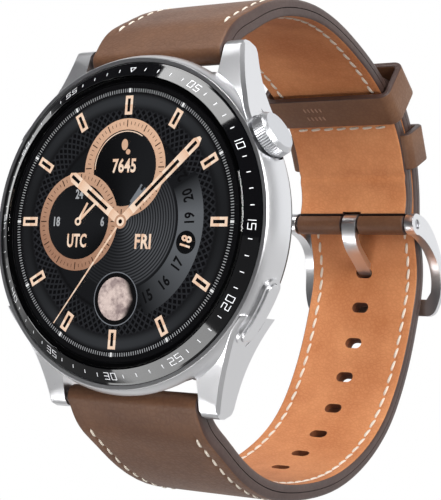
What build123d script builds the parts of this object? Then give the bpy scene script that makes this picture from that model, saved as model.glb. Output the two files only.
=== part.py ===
"""Round-cased smartwatch on a buckled leather strap, built piece by piece.

The origin is the centre of the sensor window on the case back. +X is 3 o'clock, +Z is 12 o'clock and the
dial looks along -Y, so a point h above the case back has y = -h. The strap runs away to +Y. Millimetres.
"""
from build123d import *
import os
from math import cos, hypot, pi, radians, sin

os.makedirs("parts", exist_ok=True)

# ---------------------------------------------------------------- driving dimensions
DIAL_TOP = 10.6                # crystal surface above the case back, the thickness of the watch head
LIP_H = 9.4                    # top of the polished lip round the bezel
SEAM_H = 4.75                  # where the steel case meets the back cover
CRYSTAL_R = 19.25
BEZEL_R = 21.35                # outside of the black minute ring
LIP_R = 21.45                  # inside of the steel lip
CAVITY_R = 20.3                # inside of the steel case wall
LUG_X = 11.1                   # half of the gap between the lugs, for a 22 mm strap
BAR = (-3.9, 23.2)             # spring bar axis in the side view (y, z)
ROLL = (53.2, 7.3)             # buckle bar axis in the side view (y, z)
STRAP_HALF = (10.75, 10.0)     # half width at the lugs and at the buckle
STRAP_GAP = 0.05               # half of the glue line between outer leather and lining
CROWN_ANGLE, CROWN_H = 60.5, 6.6     # clockwise from 12 o'clock
BUTTON_ANGLE, BUTTON_H = 119.0, 6.4
HOLE_PITCH, HOLE_COUNT = 6.4, 8

FACE = Plane.XZ                # seen from the dial, offset(h) lies h above the case back
SIDE = Plane.YZ                # side view, local axes are y and z
TURN = Plane(origin=(0, 0, 0), x_dir=(1, 0, 0), z_dir=(0, 0, -1))   # local axes are radius and height


def outline(plane, *points):
    """Straight-sided face through the given corners."""
    with BuildSketch(plane) as sketch:
        with BuildLine():
            Polyline(*points, close=True)
        make_face()
    return sketch.sketch


def disc(plane, radius, hole=0.0):
    """Round face, or a washer when a hole is given."""
    with BuildSketch(plane) as sketch:
        Circle(radius)
        if hole:
            Circle(hole, mode=Mode.SUBTRACT)
    return sketch.sketch


def across(x, y, z):
    """Plane across the watch at x, centred on a pin that runs along X."""
    return Plane(origin=(x, y, z), x_dir=(0, 1, 0), z_dir=(1, 0, 0))


def radial(angle, height, distance):
    """Plane across a push-piece, its normal pointing away from the watch's centre line."""
    out = Vector(sin(radians(angle)), 0, cos(radians(angle)))
    return Plane(origin=out * distance + Vector(0, -height, 0), x_dir=(0, -1, 0), z_dir=out)


def coil(plane, radius, wire, length, turns):
    """Round-wire compression spring standing on a plane."""
    pitch = (length - 2 * wire) / turns
    path = plane.offset(wire).location * Helix(pitch=pitch, height=length - 2 * wire, radius=radius)
    return sweep(disc(Plane(origin=path @ 0, z_dir=path % 0), wire), path=path, is_frenet=True)


def save(piece, label):
    """Name a finished piece and write its own file."""
    piece.part.label = label
    export_step(piece.part, f"parts/{label}.step")


# ---------------------------------------------------------------- glass, bezel and display
with BuildPart() as crystal:
    revolve(outline(TURN, (0, 10.0), (19.1, 10.0), (CRYSTAL_R, 10.1), (CRYSTAL_R, 10.45), (19.1, DIAL_TOP),
                    (0, DIAL_TOP)), axis=Axis.Y)
save(crystal, "crystal")

with BuildPart() as bezel_ring:
    # the sloped minute ring, with the ledge the glass is glued to
    revolve(outline(TURN, (18.6, 8.0), (BEZEL_R, 8.0), (BEZEL_R, 9.3), (21.1, 9.42), (19.4, 10.55),
                    (19.35, 10.5), (19.35, 9.85), (18.6, 9.85)), axis=Axis.Y)
save(bezel_ring, "bezel_ring")

with BuildPart() as crystal_gasket:
    extrude(disc(FACE.offset(9.85), 19.1, 18.65), amount=0.15)
save(crystal_gasket, "crystal_gasket")

with BuildPart() as display_panel:
    extrude(disc(FACE.offset(9.3), 18.45), amount=0.62)
save(display_panel, "display_panel")

# ---------------------------------------------------------------- steel case with its four lugs
LUG_TOP = ((11.0, 9.1), (13.5, 9.0), (15.0, 8.4), (17.0, 7.4), (19.5, 6.5), (22.0, 5.75), (23.8, 5.25))

with BuildPart() as lug:
    with BuildSketch(FACE):
        with BuildLine():
            wall = Spline((14.0, 24.0), (14.6, 21.5), (15.4, 19.0), (16.6, 16.3), (19.6, 11.6))
            Polyline(wall @ 1, (LUG_X, 11.6), (LUG_X, 24.6), (11.3, 24.8), (13.5, 24.8), wall @ 0)
        make_face()
    extrude(amount=12)
    with BuildSketch(SIDE):
        with BuildLine():
            top = Spline(*[(-h, z) for z, h in LUG_TOP])
            Polyline(top @ 1, (-4.6, 24.5), (-3.9, 24.8), (-2.9, 24.8), (-2.0, 24.3), (-1.7, 23.4),
                     (-2.0, 11.0), top @ 0)
        make_face()
    extrude(amount=30, both=True, mode=Mode.INTERSECT)
    rim = [e for e in edges() if e.center().Z > 14 and e.center().X > 13 and e.center().Y < -5]
    chamfer([e for e in rim if e.length > 3], length=0.45)
    mirror(about=Plane.YZ)
    mirror(about=Plane.XY)

with BuildPart() as strap_gap:
    # the recess between a pair of lugs, where the case wall stays round
    extrude(disc(FACE.offset(-1), 27, LIP_R - 0.15), amount=8.6)
    with BuildSketch(FACE.offset(-1)):
        Rectangle(2 * LUG_X, 60)
    extrude(amount=9, mode=Mode.INTERSECT)

with BuildPart() as front_case:
    with BuildSketch(TURN):
        with BuildLine():
            flank = ThreePointArc((22.75, SEAM_H), (22.86, 6.6), (22.05, 9.3))
            Polyline(flank @ 1, (21.95, LIP_H), (LIP_R, LIP_H), (LIP_R, 8.0), (CAVITY_R, 8.0),
                     (CAVITY_R, SEAM_H), flank @ 0)
        make_face()
    revolve(axis=Axis.Y)
    add(lug.part)
    # round the case back and the cavity clear of the lug roots
    revolve(outline(TURN, (0, -1), (20.9, -1), (21.2, 1.4), (21.9, 2.5), (22.6, 3.6), (23.0, SEAM_H),
                    (0, SEAM_H)), axis=Axis.Y, mode=Mode.SUBTRACT)
    extrude(disc(FACE.offset(4), CAVITY_R), amount=4.1, mode=Mode.SUBTRACT)
    extrude(disc(FACE.offset(8), LIP_R), amount=4, mode=Mode.SUBTRACT)
    add(strap_gap.part, mode=Mode.SUBTRACT)
    # spring bar holes in the lugs
    for end in (1, -1):
        extrude(disc(across(-12.2, BAR[0], end * BAR[1]), 0.45), amount=24.4, mode=Mode.SUBTRACT)
    # crown seat and the bore its tube is pressed into
    extrude(disc(radial(CROWN_ANGLE, CROWN_H, 21.95), 3.3), amount=4, mode=Mode.SUBTRACT)
    extrude(disc(radial(CROWN_ANGLE, CROWN_H, 19), 1.25), amount=4, mode=Mode.SUBTRACT)

with BuildPart() as button_surround:
    with BuildSketch(radial(BUTTON_ANGLE, BUTTON_H, 21.0)):
        SlotOverall(9.6, 3.5, rotation=90)
    extrude(amount=4)
    revolve(outline(TURN, (21.5, SEAM_H), (23.15, SEAM_H), (23.15, 9), (21.5, 9)), axis=Axis.Y,
            mode=Mode.INTERSECT)

with BuildPart() as case_with_button_seat:
    add(front_case.part)
    add(button_surround.part)
    with BuildSketch(radial(BUTTON_ANGLE, BUTTON_H, 21.6)):
        SlotOverall(8.5, 2.5, rotation=90)
    extrude(amount=4, mode=Mode.SUBTRACT)
    extrude(disc(radial(BUTTON_ANGLE, BUTTON_H, 19), 0.65), amount=4, mode=Mode.SUBTRACT)
save(case_with_button_seat, "front_case")

# ---------------------------------------------------------------- back of the case
SCREW_SPOTS = [(17.5 * cos(radians(a)), 17.5 * sin(radians(a))) for a in (45, 135, 225, 315)]

with BuildPart() as back_cover:
    revolve(outline(TURN, (12.0, 1.25), (12.0, 1.7), (18.9, 1.7), (19.6, 2.8), (19.8, 4.7), (20.35, 4.7),
                    (20.35, 4.3), (20.95, 4.3), (20.95, 4.7), (22.7, 4.7), (22.2, 3.6), (21.5, 2.4),
                    (20.9, 1.4), (20.2, 0.7), (19.4, 0.45), (13.15, 0.45), (13.15, 1.25)), axis=Axis.Y)
    add(strap_gap.part, mode=Mode.SUBTRACT)
    extrude(disc(radial(CROWN_ANGLE, CROWN_H, 21.95), 3.3), amount=4, mode=Mode.SUBTRACT)
    with BuildSketch(FACE):
        with Locations(*SCREW_SPOTS):
            Circle(0.6)
    extrude(amount=3, mode=Mode.SUBTRACT)
    with BuildSketch(FACE):
        with Locations(*SCREW_SPOTS):
            Circle(1.1)
    extrude(amount=1.05, mode=Mode.SUBTRACT)
save(back_cover, "back_cover")

with BuildPart() as case_seal:
    extrude(disc(FACE.offset(4.32), 20.92, 20.38), amount=0.42)
save(case_seal, "case_seal")

with BuildPart() as sensor_window:
    revolve(outline(TURN, (0, 0), (12.4, 0), (13.0, 0.4), (13.0, 1.25), (0, 1.25)), axis=Axis.Y)
save(sensor_window, "sensor_window")

with BuildPart() as case_screws:
    with BuildSketch(FACE.offset(0.55)):
        with Locations(*SCREW_SPOTS):
            Circle(1.0)
    extrude(amount=0.5)
    with BuildSketch(FACE.offset(1.05)):
        with Locations(*SCREW_SPOTS):
            Circle(0.5)
    extrude(amount=2.6)
    with BuildSketch(FACE.offset(0.55)):
        with Locations(*SCREW_SPOTS):
            Rectangle(1.3, 0.3)
            Rectangle(0.3, 1.3)
    extrude(amount=0.3, mode=Mode.SUBTRACT)
save(case_screws, "case_screws")

# ---------------------------------------------------------------- inside the case
with BuildPart() as inner_frame:
    extrude(disc(FACE.offset(1.75), 18.8, 16.2), amount=6.2)
    for angle, height in ((CROWN_ANGLE, CROWN_H), (BUTTON_ANGLE, BUTTON_H)):
        with BuildSketch(radial(angle, height, 15)):
            Rectangle(3.6, 4.6)
        extrude(amount=5, mode=Mode.SUBTRACT)
    with BuildSketch(FACE.offset(1.7)):
        with Locations(*SCREW_SPOTS):
            Circle(0.52)
    extrude(amount=2.2, mode=Mode.SUBTRACT)
save(inner_frame, "inner_frame")

with BuildPart() as sensor_board:
    extrude(disc(FACE.offset(1.25), 11.8), amount=0.6)
    # light emitters and receivers that look out through the window
    with BuildSketch(FACE.offset(1.85)):
        Rectangle(5, 5)
        with PolarLocations(5.5, 4, 45):
            Rectangle(1.8, 1.8)
    extrude(amount=0.5)
save(sensor_board, "sensor_board")

with BuildPart() as charging_coil:
    extrude(disc(FACE.offset(1.85), 11.5, 7.8), amount=0.6)
save(charging_coil, "charging_coil")

with BuildPart() as battery:
    with BuildSketch(FACE.offset(2.6)):
        RectangleRounded(23, 19.4, 2)
    extrude(amount=4.4)
save(battery, "battery")

with BuildPart() as main_board:
    with BuildSketch(FACE.offset(7.1)):
        Circle(15.9)
        with Locations((0, -16.5)):
            Rectangle(7, 5, mode=Mode.SUBTRACT)
    extrude(amount=0.7)
    # chips on the dial side of the board
    with BuildSketch(FACE.offset(7.8)):
        with Locations((-4, 2)):
            Rectangle(8, 8)
        with Locations((6, 3)):
            Rectangle(6, 7)
        with Locations((2, -6)):
            Rectangle(5, 4)
    extrude(amount=0.7)
save(main_board, "main_board")

with BuildPart() as speaker:
    with BuildSketch(FACE.offset(2.6)):
        with Locations((0, -12.7)):
            RectangleRounded(10, 4.4, 1)
    extrude(amount=3.4)
save(speaker, "speaker")

with BuildPart() as vibration_motor:
    extrude(disc(across(-4.5, -4.6, 12.4), 1.8), amount=9)
save(vibration_motor, "vibration_motor")

with BuildPart() as antenna:
    # one arc of the rim, opposite the push-pieces
    revolve(outline(TURN, (-20.1, 7.2), (-19.2, 7.2), (-19.2, 7.8), (-20.1, 7.8)), axis=Axis.Y,
            revolution_arc=130)
save(antenna, "antenna")

# ---------------------------------------------------------------- crown at 2 o'clock
TEETH = 54

with BuildPart() as crown_cap:
    with BuildSketch(radial(CROWN_ANGLE, CROWN_H, 22.45)):
        with BuildLine():
            Polyline(*[((3.06 - 0.16 * (i % 2)) * cos(pi * i / TEETH),
                        (3.06 - 0.16 * (i % 2)) * sin(pi * i / TEETH)) for i in range(2 * TEETH)], close=True)
        make_face()
    extrude(amount=1.5)
    extrude(disc(radial(CROWN_ANGLE, CROWN_H, 23.95), 2.98), amount=0.55, taper=38)
    extrude(disc(radial(CROWN_ANGLE, CROWN_H, 22.45), 2.2), amount=1.1, mode=Mode.SUBTRACT)
    extrude(disc(radial(CROWN_ANGLE, CROWN_H, 23.4), 0.95), amount=0.55, mode=Mode.SUBTRACT)
save(crown_cap, "crown_cap")

with BuildPart() as crown_stem:
    extrude(disc(radial(CROWN_ANGLE, CROWN_H, 19.0), 0.9), amount=4.95)
    extrude(disc(radial(CROWN_ANGLE, CROWN_H, 19.2), 1.0, 0.7), amount=0.3, mode=Mode.SUBTRACT)
    extrude(disc(radial(CROWN_ANGLE, CROWN_H, 20.5), 1.0, 0.6), amount=0.6, mode=Mode.SUBTRACT)
save(crown_stem, "crown_stem")

with BuildPart() as crown_tube:
    extrude(disc(radial(CROWN_ANGLE, CROWN_H, 19.6), 1.24, 0.95), amount=2.5)
save(crown_tube, "crown_tube")

with BuildPart() as crown_seal:
    extrude(disc(radial(CROWN_ANGLE, CROWN_H, 20.55), 0.93, 0.62), amount=0.5)
save(crown_seal, "crown_seal")

with BuildPart() as crown_clip:
    extrude(disc(radial(CROWN_ANGLE, CROWN_H, 19.22), 1.3, 0.72), amount=0.25)
save(crown_clip, "crown_clip")

with BuildPart() as crown_washer:
    extrude(disc(radial(CROWN_ANGLE, CROWN_H, 23.35), 2.1, 1.0), amount=0.18)
save(crown_washer, "crown_washer")

with BuildPart() as crown_spring:
    add(coil(radial(CROWN_ANGLE, CROWN_H, 22.0), 1.7, 0.13, 1.33, 3))
save(crown_spring, "crown_spring")

with BuildPart() as crown_switch:
    with BuildSketch(radial(CROWN_ANGLE, CROWN_H, 17.2)):
        Rectangle(2.6, 3.6)
    extrude(amount=0.9)
    extrude(disc(radial(CROWN_ANGLE, CROWN_H, 18.1), 0.6), amount=0.3)
save(crown_switch, "crown_switch")

# ---------------------------------------------------------------- button at 4 o'clock
with BuildPart() as side_button:
    with BuildSketch(radial(BUTTON_ANGLE, BUTTON_H, 22.15)):
        SlotOverall(8.36, 2.36, rotation=90)
    extrude(amount=3)
    revolve(outline(TURN, (20.9, 0), (23.4, 0), (23.4, 9), (20.9, 9)), axis=Axis.Y, mode=Mode.INTERSECT)
    extrude(disc(radial(BUTTON_ANGLE, BUTTON_H, 22.0), 1.02, 0.5), amount=0.7, mode=Mode.SUBTRACT)
save(side_button, "side_button")

with BuildPart() as button_plunger:
    extrude(disc(radial(BUTTON_ANGLE, BUTTON_H, 18.85), 0.6), amount=3.3)
    extrude(disc(radial(BUTTON_ANGLE, BUTTON_H, 19.95), 0.7, 0.4), amount=0.25, mode=Mode.SUBTRACT)
save(button_plunger, "button_plunger")

with BuildPart() as button_clip:
    extrude(disc(radial(BUTTON_ANGLE, BUTTON_H, 19.98), 1.2, 0.42), amount=0.19)
save(button_clip, "button_clip")

with BuildPart() as button_spring:
    add(coil(radial(BUTTON_ANGLE, BUTTON_H, 21.62), 0.8, 0.1, 1.05, 3))
save(button_spring, "button_spring")

with BuildPart() as button_switch:
    with BuildSketch(radial(BUTTON_ANGLE, BUTTON_H, 17.2)):
        Rectangle(2.6, 3.6)
    extrude(amount=0.85)
    extrude(disc(radial(BUTTON_ANGLE, BUTTON_H, 18.05), 0.6), amount=0.3)
save(button_switch, "button_switch")

# ---------------------------------------------------------------- quick-release spring bars
for name, z in (("upper", BAR[1]), ("lower", -BAR[1])):
    with BuildPart() as bar_tube:
        extrude(disc(across(-10.4, BAR[0], z), 0.75, 0.5), amount=20.8)
        # slot for the finger lever, on the wrist side
        with BuildSketch(Plane.XZ.offset(-BAR[0])):
            with Locations((7.0, z)):
                Rectangle(2.5, 0.8)
        extrude(amount=-1, mode=Mode.SUBTRACT)
    save(bar_tube, f"{name}_bar_tube")

    with BuildPart() as bar_fixed_pin:
        extrude(disc(across(-11.9, BAR[0], z), 0.4), amount=1.5)
        extrude(disc(across(-10.4, BAR[0], z), 0.49), amount=1.9)
        extrude(disc(across(-8.5, BAR[0], z), 0.35), amount=9.5)
    save(bar_fixed_pin, f"{name}_bar_fixed_pin")

    with BuildPart() as bar_release_pin:
        extrude(disc(across(7.0, BAR[0], z), 0.45), amount=3.3)
        extrude(disc(across(10.3, BAR[0], z), 0.4), amount=1.6)
        extrude(disc(Plane(origin=(7.75, BAR[0], z), x_dir=(1, 0, 0), z_dir=(0, 1, 0)), 0.35), amount=2.6)
    save(bar_release_pin, f"{name}_bar_release_pin")

    with BuildPart() as bar_spring:
        add(coil(across(1.0, BAR[0], z), 0.34, 0.1, 6.0, 8))
    save(bar_spring, f"{name}_bar_spring")

# ---------------------------------------------------------------- strap
# Middle lines of the two halves in the side view, from the spring bar round the wrist. The short half ends
# on the buckle bar; the long half passes behind the buckle and runs on outside the short half.
SHORT = Spline((-3.9, 23.2), (-2.0, 26.2), (1.6, 28.7), (5.1, 30.7), (9.1, 32.4), (14.6, 33.7), (19.4, 34.1),
               (25.9, 33.5), (32.8, 31.7), (39.2, 29.3), (46.6, 24.6), (50.7, 19.6), (52.9, 14.8),
               (53.8, 10.8), ROLL)
LONG = Spline((-3.9, -23.2), (-1.9, -26.0), (1.5, -28.4), (6.4, -31.4), (15.6, -34.7), (22.4, -35.2),
              (28.9, -34.9), (35.2, -33.8), (40.6, -31.9), (46.3, -28.7), (50.7, -24.7), (53.8, -20.1),
              (56.4, -14.4), (58.6, -6.9), (59.4, -2.0), (58.9, 2.0), (57.4, 6.2), (56.5, 11.6),
              (55.4, 15.9), (53.0, 21.1), (48.4, 26.6), (44.4, 29.4))


def beside(line, s, offset):
    """Side-view point at length s along a line, moved to its left."""
    p = line.position_at(s, position_mode=PositionMode.LENGTH)
    t = line.tangent_at(s, position_mode=PositionMode.LENGTH)
    return (p.X - t.Y * offset, p.Y + t.X * offset)


def nearest(line, y, z):
    """Length along a line at which it passes closest to a side-view point."""
    steps = [0.1 * i for i in range(int(line.length * 10))]
    points = [line.position_at(s, position_mode=PositionMode.LENGTH) for s in steps]
    return min((hypot(p.X - y, p.Y - z), s) for p, s in zip(points, steps))[1]


def half_thickness(s, thin):
    """The strap is padded at the lugs and thins over the first 30 mm."""
    return thin + (1.5 - thin) * max(0.0, 1 - s / 30)


def layer(line, low, high, thin, count=26):
    """Side outline of a leather layer between two offsets, given as functions of the half thickness."""
    stations = [line.length * i / count for i in range(count + 1)]
    with BuildSketch(SIDE) as sketch:
        with BuildLine():
            one = Spline(*[beside(line, s, low(half_thickness(s, thin))) for s in stations])
            two = Spline(*[beside(line, s, high(half_thickness(s, thin))) for s in stations])
            Line(one @ 0, two @ 0)
            Line(one @ 1, two @ 1)
        make_face()
    return sketch.sketch


def cross_section(line, s, out):
    """Plane across the strap at length s: local x is across the wrist, local y points away from it."""
    t = line.tangent_at(s, position_mode=PositionMode.LENGTH)
    p = line.position_at(s, position_mode=PositionMode.LENGTH)
    return Plane(origin=(0, p.X, p.Y), x_dir=(out, 0, 0), z_dir=(0, -t.X, -t.Y))


with BuildPart() as strap_plan:
    wide, narrow = STRAP_HALF
    extrude(outline(Plane.XY, (-wide, -8), (wide, -8), (wide, 2), (narrow, 48), (narrow, 75),
                    (-narrow, 75), (-narrow, 48), (-wide, 2)), amount=50, both=True)

# where the tongue crosses the long half, and the row of holes back towards the case
TONGUE_S = nearest(LONG, 59.2, -0.3)
HOLES = [TONGUE_S - HOLE_PITCH * i for i in range(HOLE_COUNT)]

BEND = Spline((52.05, 7.3), (53.4, 3.8), (56.6, 1.5), (59.6, -0.6), (62.1, -2.7), (63.1, -4.9),
              (63.15, -7.1), tangents=((0, -1), (-0.1, -1)))


def tongue_band(half):
    """Side outline of the curved tongue, half its thickness either side of the bend."""
    with BuildSketch(SIDE) as sketch:
        with BuildLine():
            one = Spline(*[beside(BEND, BEND.length * i / 12, half) for i in range(13)])
            two = Spline(*[beside(BEND, BEND.length * i / 12, -half) for i in range(13)])
            Line(one @ 0, two @ 0)
            Line(one @ 1, two @ 1)
        make_face()
    return sketch.sketch


def lever_slot(z):
    """Cut-out in the strap end for the finger lever of the quick-release pin."""
    with BuildPart() as slot:
        with BuildSketch(Plane.XZ.offset(-BAR[0])):
            with Locations((7.15, z)):
                Rectangle(2.7, 1.6)
        extrude(amount=-5.2)
    return slot.part


with BuildPart() as upper_strap_outer:
    extrude(layer(SHORT, lambda h: STRAP_GAP, lambda h: h, 1.15), amount=12, both=True)
    # the leather is folded round the spring bar and round the buckle bar
    extrude(disc(across(-12, *BAR), 1.55), amount=24)
    extrude(disc(across(-12, *ROLL), 1.75), amount=24)
    add(strap_plan.part, mode=Mode.INTERSECT)
    extrude(disc(across(-12, *BAR), 0.85), amount=24, mode=Mode.SUBTRACT)
    extrude(disc(across(-12, *ROLL), 0.85), amount=24, mode=Mode.SUBTRACT)
    add(lever_slot(BAR[1]), mode=Mode.SUBTRACT)
    # notch in the fold for the tongue
    extrude(disc(across(-1.7, *ROLL), 2.1), amount=3.4, mode=Mode.SUBTRACT)
save(upper_strap_outer, "upper_strap_outer")

with BuildPart() as upper_strap_lining:
    extrude(layer(SHORT, lambda h: -h, lambda h: -STRAP_GAP, 1.15), amount=12, both=True)
    add(strap_plan.part, mode=Mode.INTERSECT)
    extrude(disc(across(-12, *BAR), 1.6), amount=24, mode=Mode.SUBTRACT)
    extrude(disc(across(-12, *ROLL), 1.8), amount=24, mode=Mode.SUBTRACT)
    extrude(disc(across(-1.7, *ROLL), 2.1), amount=3.4, mode=Mode.SUBTRACT)
    add(lever_slot(BAR[1]), mode=Mode.SUBTRACT)
save(upper_strap_lining, "upper_strap_lining")

with BuildPart() as strap_holes:
    for s in HOLES:
        across_strap = cross_section(LONG, s, -1)
        with BuildSketch(Plane(origin=across_strap.origin, x_dir=(1, 0, 0), z_dir=across_strap.y_dir)):
            SlotOverall(3.0, 1.8)
        extrude(amount=2, both=True)
    # the tongue passes slantwise through its hole
    extrude(tongue_band(1.25), amount=1.5, both=True)

with BuildPart() as lower_strap_outer:
    extrude(layer(LONG, lambda h: -h, lambda h: -STRAP_GAP, 1.2, 40), amount=12, both=True)
    extrude(disc(across(-12, BAR[0], -BAR[1]), 1.55), amount=24)
    add(strap_plan.part, mode=Mode.INTERSECT)
    extrude(disc(across(-12, BAR[0], -BAR[1]), 0.85), amount=24, mode=Mode.SUBTRACT)
    add(lever_slot(-BAR[1]), mode=Mode.SUBTRACT)
    add(strap_holes.part, mode=Mode.SUBTRACT)
save(lower_strap_outer, "lower_strap_outer")

with BuildPart() as lower_strap_lining:
    extrude(layer(LONG, lambda h: STRAP_GAP, lambda h: h, 1.2, 40), amount=12, both=True)
    add(strap_plan.part, mode=Mode.INTERSECT)
    extrude(disc(across(-12, BAR[0], -BAR[1]), 1.6), amount=24, mode=Mode.SUBTRACT)
    add(lever_slot(-BAR[1]), mode=Mode.SUBTRACT)
    add(strap_holes.part, mode=Mode.SUBTRACT)
save(lower_strap_lining, "lower_strap_lining")

# ---------------------------------------------------------------- keepers
FIXED_S = nearest(SHORT, 51.0, 19.0)
FREE_S = nearest(SHORT, 44.4, 26.4)

with BuildPart() as fixed_keeper:
    # a strip glued to both edges of the short half, arched over the long half
    with BuildSketch(cross_section(SHORT, FIXED_S, 1)):
        with Locations((0, 2.15)):
            RectangleRounded(23.0, 6.1, 1.3)
        with Locations((0, 1.7)):
            RectangleRounded(20.6, 4.9, 0.6, mode=Mode.SUBTRACT)
        with Locations((0, -0.4)):
            Rectangle(20.6, 1.5, mode=Mode.SUBTRACT)
        with Locations((-10.75, -0.1), (10.75, -0.1)):
            Rectangle(1.5, 1.6)
    extrude(amount=3.0, both=True)
save(fixed_keeper, "fixed_keeper")

with BuildPart() as free_keeper:
    with BuildSketch(cross_section(SHORT, FREE_S, 1)):
        with Locations((0, 1.25)):
            RectangleRounded(23.6, 8.4, 1.7)
            RectangleRounded(21.4, 6.2, 0.7, mode=Mode.SUBTRACT)
    extrude(amount=3.0, both=True)
save(free_keeper, "free_keeper")

# ---------------------------------------------------------------- pin buckle
with BuildPart() as buckle_bar:
    extrude(disc(across(-11.6, *ROLL), 0.75), amount=23.2)
save(buckle_bar, "buckle_bar")

with BuildPart() as buckle_frame:
    with BuildSketch(SIDE):
        with BuildLine():
            outer = Spline((53.6, 9.0), (57.0, 8.2), (60.2, 5.6), (62.0, 1.6), (62.3, -2.6), (61.9, -7.2))
            inner = Spline((61.0, -7.2), (61.15, -3.0), (60.6, 0.2), (59.2, 2.6), (56.6, 4.6), (53.6, 5.6))
            Line(outer @ 1, inner @ 0)
            Line(inner @ 1, outer @ 0)
        make_face()
        with Locations(ROLL):
            Circle(1.75)
    extrude(amount=13, both=True)
    with BuildSketch(Plane.XZ.offset(-80)) as plan:
        with BuildLine():
            side = Spline((11.7, 9.4), (12.0, 6.0), (12.7, 1.0), (12.9, -3.5), (12.5, -5.4))
            corner = Spline(side @ 1, (11.9, -6.7), (10.6, -7.2), tangents=(side % 1, (-1, 0)))
            Polyline(corner @ 1, (0, -7.2), (0, 9.4), side @ 0)
        make_face()
        mirror(about=Plane.YZ)
    extrude(amount=60, mode=Mode.INTERSECT)
    # the window the strap runs through
    with BuildSketch(Plane.XZ.offset(-80)):
        with BuildLine():
            edge = Spline((10.3, 10), (10.35, 6.0), (11.0, 1.0), (11.1, -3.2))
            Polyline(edge @ 1, (10.4, -4.4), (0, -4.4), (0, 10), edge @ 0)
        make_face()
        mirror(about=Plane.YZ)
    extrude(amount=60, mode=Mode.SUBTRACT)
    extrude(disc(across(-13, *ROLL), 0.8), amount=26, mode=Mode.SUBTRACT)
save(buckle_frame, "buckle_frame")

with BuildPart() as buckle_tongue:
    extrude(disc(across(-1.25, *ROLL), 1.65), amount=2.5)
    extrude(tongue_band(0.55), amount=1.25, both=True)
    extrude(disc(across(-1.25, *ROLL), 0.8), amount=2.5, mode=Mode.SUBTRACT)
save(buckle_tongue, "buckle_tongue")
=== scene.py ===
# %% [markdown]
# # A smartwatch on a buckled leather strap
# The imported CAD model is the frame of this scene. It already says where every part is, so each piece below
# is made in place, in metres: +X is 3 o'clock, +Z is 12 o'clock, the dial looks along -Y and the strap runs
# to +Y. The CAD bodies are never moved. Hard parts keep their CAD shape; leather, thread and dial are made
# here.

# %% Load the frame
import math
import bmesh
import bpy
import numpy as np
from mathutils import Matrix, Vector


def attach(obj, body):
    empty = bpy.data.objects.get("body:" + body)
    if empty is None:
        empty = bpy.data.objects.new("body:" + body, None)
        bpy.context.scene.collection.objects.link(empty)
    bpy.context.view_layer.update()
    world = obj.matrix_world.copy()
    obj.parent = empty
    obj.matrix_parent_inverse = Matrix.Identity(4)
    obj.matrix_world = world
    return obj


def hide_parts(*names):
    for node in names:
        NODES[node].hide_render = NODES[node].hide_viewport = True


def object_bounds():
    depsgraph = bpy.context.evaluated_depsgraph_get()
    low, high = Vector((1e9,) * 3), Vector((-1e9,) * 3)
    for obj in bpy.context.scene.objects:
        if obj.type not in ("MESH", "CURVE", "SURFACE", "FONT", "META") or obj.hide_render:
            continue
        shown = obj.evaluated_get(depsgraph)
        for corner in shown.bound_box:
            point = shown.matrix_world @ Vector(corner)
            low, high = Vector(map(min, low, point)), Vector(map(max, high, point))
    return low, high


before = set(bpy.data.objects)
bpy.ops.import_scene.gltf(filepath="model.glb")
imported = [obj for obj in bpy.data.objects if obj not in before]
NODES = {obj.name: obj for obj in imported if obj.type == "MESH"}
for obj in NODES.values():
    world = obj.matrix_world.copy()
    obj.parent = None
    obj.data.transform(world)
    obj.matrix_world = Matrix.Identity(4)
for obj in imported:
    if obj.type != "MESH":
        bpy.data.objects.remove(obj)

CAD_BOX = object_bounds()
MM = 0.001
print("nodes", len(NODES), "CAD box", [round(v / MM, 1) for corner in CAD_BOX for v in corner])

# %% [markdown]
# ## Small helpers
# The floor, the sky and every finish are built from shader nodes. A finish can be put together by hand in
# the shader editor; written as code it can be repeated with other values. These functions keep that short:
# they place a node, feed its inputs with numbers or links, and hand back the socket that is wanted.

# %% Helpers for node trees
def feed(tree, socket, value):
    """Gives an input its value: a link from another socket, or a plain number or colour."""
    if isinstance(value, bpy.types.NodeSocket):
        tree.links.new(value, socket)
    else:
        socket.default_value = value


def link_up(tree, node, **values):
    """Feeds inputs by name, with _ for a space, or by number, as i0 or i1."""
    for key, value in values.items():
        numbered = key[0] == "i" and key[1:].isdigit()
        feed(tree, node.inputs[int(key[1:]) if numbered else key.replace("_", " ")], value)
    return node


def add_node(tree, kind, settings=None, **values):
    """Places a shader node with its settings and inputs."""
    node = tree.nodes.new("ShaderNode" + kind)
    for key, value in (settings or {}).items():
        setattr(node, key, value)
    return link_up(tree, node, **values)


def calc(tree, operation, *values, clamp=False):
    """One Math node, its inputs in order; returns the result socket."""
    node = add_node(tree, "Math", {"operation": operation, "use_clamp": clamp})
    for socket, value in zip(node.inputs, values):
        feed(tree, socket, value)
    return node.outputs[0]


def blend_colours(tree, factor, one, two):
    """Mix of two colours by a mask; returns the colour socket."""
    node = add_node(tree, "Mix", {"data_type": "RGBA"})
    for place, value in ((0, factor), (6, one), (7, two)):
        feed(tree, node.inputs[place], value)
    return node.outputs[2]


def object_spot(tree):
    """Position on the object, in metres, as a socket."""
    return tree.nodes.new("ShaderNodeTexCoord").outputs["Object"]


def srgb(r, g, b, a=1.0):
    """Colour given as on a paint chart, 0 to 255, turned to linear light."""
    return tuple(c / 255 / 12.92 if c <= 10 else ((c / 255 + 0.055) / 1.055) ** 2.4 for c in (r, g, b)) + (a,)


def new_finish(name, base, roughness, metallic=0.0, **constants):
    """Material with one Principled shader; returns the material, its tree and the shader."""
    finish = bpy.data.materials.new(name)
    finish.use_nodes = True
    shader = finish.node_tree.nodes["Principled BSDF"]
    link_up(finish.node_tree, shader, Base_Color=base, Roughness=roughness, Metallic=metallic, **constants)
    return finish, finish.node_tree, shader

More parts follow.
